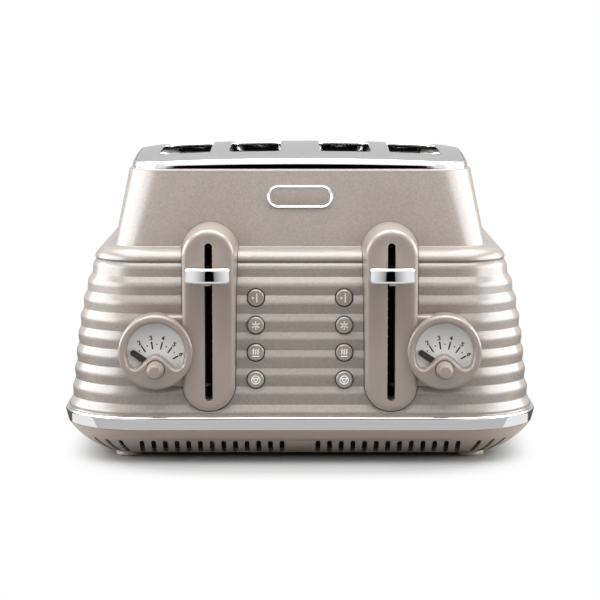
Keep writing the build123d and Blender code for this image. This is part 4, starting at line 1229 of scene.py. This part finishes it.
def floor_material():
    """Floor that takes the shadow near the object and turns to the white of the backdrop further out.

    The distance is the fourth root of the sum of fourth powers, so that the darker area is a rounded square.
    """
    material, tree = bare_material("Floor")
    seen = ray_mask(tree)
    colour = add_node(tree, "Mix", {0: seen, 6: (*[floor_bounce] * 3, 1.0), 7: (*[floor_shown] * 3, 1.0)},
                      data_type="RGBA")
    place = add_node(tree, "TexCoord").outputs["Object"]
    squeeze = add_node(tree, "VectorMath", {0: place, 1: (floor_squeeze, 1.0, 1.0)}, operation="MULTIPLY")
    narrow = squeeze.outputs[0]
    square = add_node(tree, "VectorMath", {0: narrow, 1: narrow}, operation="MULTIPLY")
    reach = add_node(tree, "VectorMath", {0: square.outputs[0]}, operation="LENGTH")
    root = add_node(tree, "Math", {0: reach.outputs["Value"]}, operation="SQRT")
    fade = add_node(tree, "MapRange", {0: root.outputs[0], "From Min": floor_fade[0],
                                       "From Max": floor_fade[1]}, interpolation_type="SMOOTHSTEP")
    share = add_node(tree, "Math", {0: fade.outputs[0], 1: seen}, operation="MULTIPLY")
    near = add_node(tree, "BsdfDiffuse", {"Color": colour.outputs[2]})
    far = add_node(tree, "Emission")
    mix = add_node(tree, "MixShader", {0: share.outputs[0], 1: near.outputs[0], 2: far.outputs[0]})
    add_node(tree, "OutputMaterial", {"Surface": mix.outputs[0]})
    return material


def card_material(name, level, ramp):
    """Card of a brightness. With a ramp it is black near the middle line and rises from a step beyond."""
    material, tree = bare_material(name)
    glow = add_node(tree, "Emission", {"Strength": level})
    if ramp:
        split = add_node(tree, "SeparateXYZ", {0: add_node(tree, "TexCoord").outputs["Object"]})
        away = add_node(tree, "Math", {0: split.outputs[0]}, operation="ABSOLUTE").outputs[0]
        rise = add_node(tree, "MapRange", {0: away, "From Min": ramp[0], "From Max": ramp[1],
                                           "To Min": level * flag_step, "To Max": level})
        beyond = add_node(tree, "Math", {0: away, 1: ramp[0]}, operation="GREATER_THAN")
        shown = add_node(tree, "Math", {0: rise.outputs[0], 1: beyond.outputs[0]}, operation="MULTIPLY")
        tree.links.new(shown.outputs[0], glow.inputs["Strength"])
    add_node(tree, "OutputMaterial", {"Surface": glow.outputs[0]})
    return material


def lying(left, right, near, far, height):
    """Corners of a level sheet."""
    return (left, near, height), (right, near, height), (right, far, height), (left, far, height)


def standing(half, y, low, high):
    """Corners of an upright sheet across the middle."""
    return (-half, y, low), (half, y, low), (half, y, high), (-half, y, high)


def stage_sheet(name, corners, material):
    """Flat sheet of the stage through four corners."""
    mesh = bpy.data.meshes.new(name)
    mesh.from_pydata(corners, [], [(0, 1, 2, 3)])
    mesh.materials.append(material)
    thing = add_object(name, mesh)
    return thing


def flag_sheet(name, corners, level, ramp=None):
    """Card that shows in mirrors alone."""
    card = stage_sheet(name, corners, card_material(name, level, ramp))
    for ray in ("visible_camera", "visible_diffuse", "visible_shadow", "visible_transmission"):
        setattr(card, ray, False)


def softbox(name, place, target, size, power):
    """Rectangular soft light at a place, turned to a target."""
    lamp = bpy.data.lights.new(name, "AREA")
    lamp.shape = "RECTANGLE"
    lamp.size, lamp.size_y = size
    lamp.energy = power
    thing = add_object(name, lamp)
    thing.location = place
    thing.rotation_euler = (Vector(target) - Vector(place)).to_track_quat("-Z", "Y").to_euler()


stage_sheet("floor", lying(-floor_reach, floor_reach, -floor_reach, floor_reach, 0.0), floor_material())
flag_sheet("flag_low", lying(-flag_half, flag_half, flag_far, flag_near, flag_lift), 1.0, flag_ramp)
flag_sheet("flag_high", standing(flag_half, flag_far, 0.0, flag_top), 1.0, flag_ramp)
flag_sheet("card_floor", lying(-card_floor_half, card_floor_half, *card_floor_ends, card_lift),
           card_floor_level)
flag_sheet("card_behind", standing(card_half, card_far, card_foot, card_top), card_level)
flag_sheet("card_behind_low", lying(-card_half, card_half, card_near, card_far, card_lift), card_low_level)
for side, name in SIDES:
    inner, outer = side * flag_side[0], side * flag_side[1]
    flag_sheet(f"flag_{name}", lying(inner, outer, *flag_side_ends, flag_lift), flag_side_level)

softbox("overhead", (0.0, -0.05, 1.1), (0.0, 0.0, 0.1), (1.5, 1.5), overhead_power)
for side, name in SIDES:
    softbox(f"{name} side", (side * 1.4, -0.1, 0.55), (side * 0.1, 0.0, 0.12), (2.0, 0.85), side_power)
softbox("front fill", (0.0, -2.6, 1.6), (0.0, 0.0, 0.1), (2.0, 1.0), fill_power)

world = bpy.data.worlds.new("studio")
bpy.context.scene.world = world
world.use_nodes = True
sky = world.node_tree
background = sky.nodes["Background"]
background.inputs["Color"].default_value = (1.0, 1.0, 1.0, 1.0)
strength = add_node(sky, "MapRange", {0: ray_mask(sky), "To Min": world_bounce, "To Max": 1.0})
sky.links.new(strength.outputs[0], background.inputs["Strength"])

camera_data = bpy.data.cameras.new("camera")
camera_data.lens = camera_lens
camera_data.sensor_width = camera_sensor
camera = add_object("camera", camera_data)
camera.location = camera_place
camera.rotation_euler = (math.radians(90.0 - camera_tilt), 0.0, 0.0)
bpy.context.scene.camera = camera
bpy.context.scene.view_settings.view_transform = "Standard"
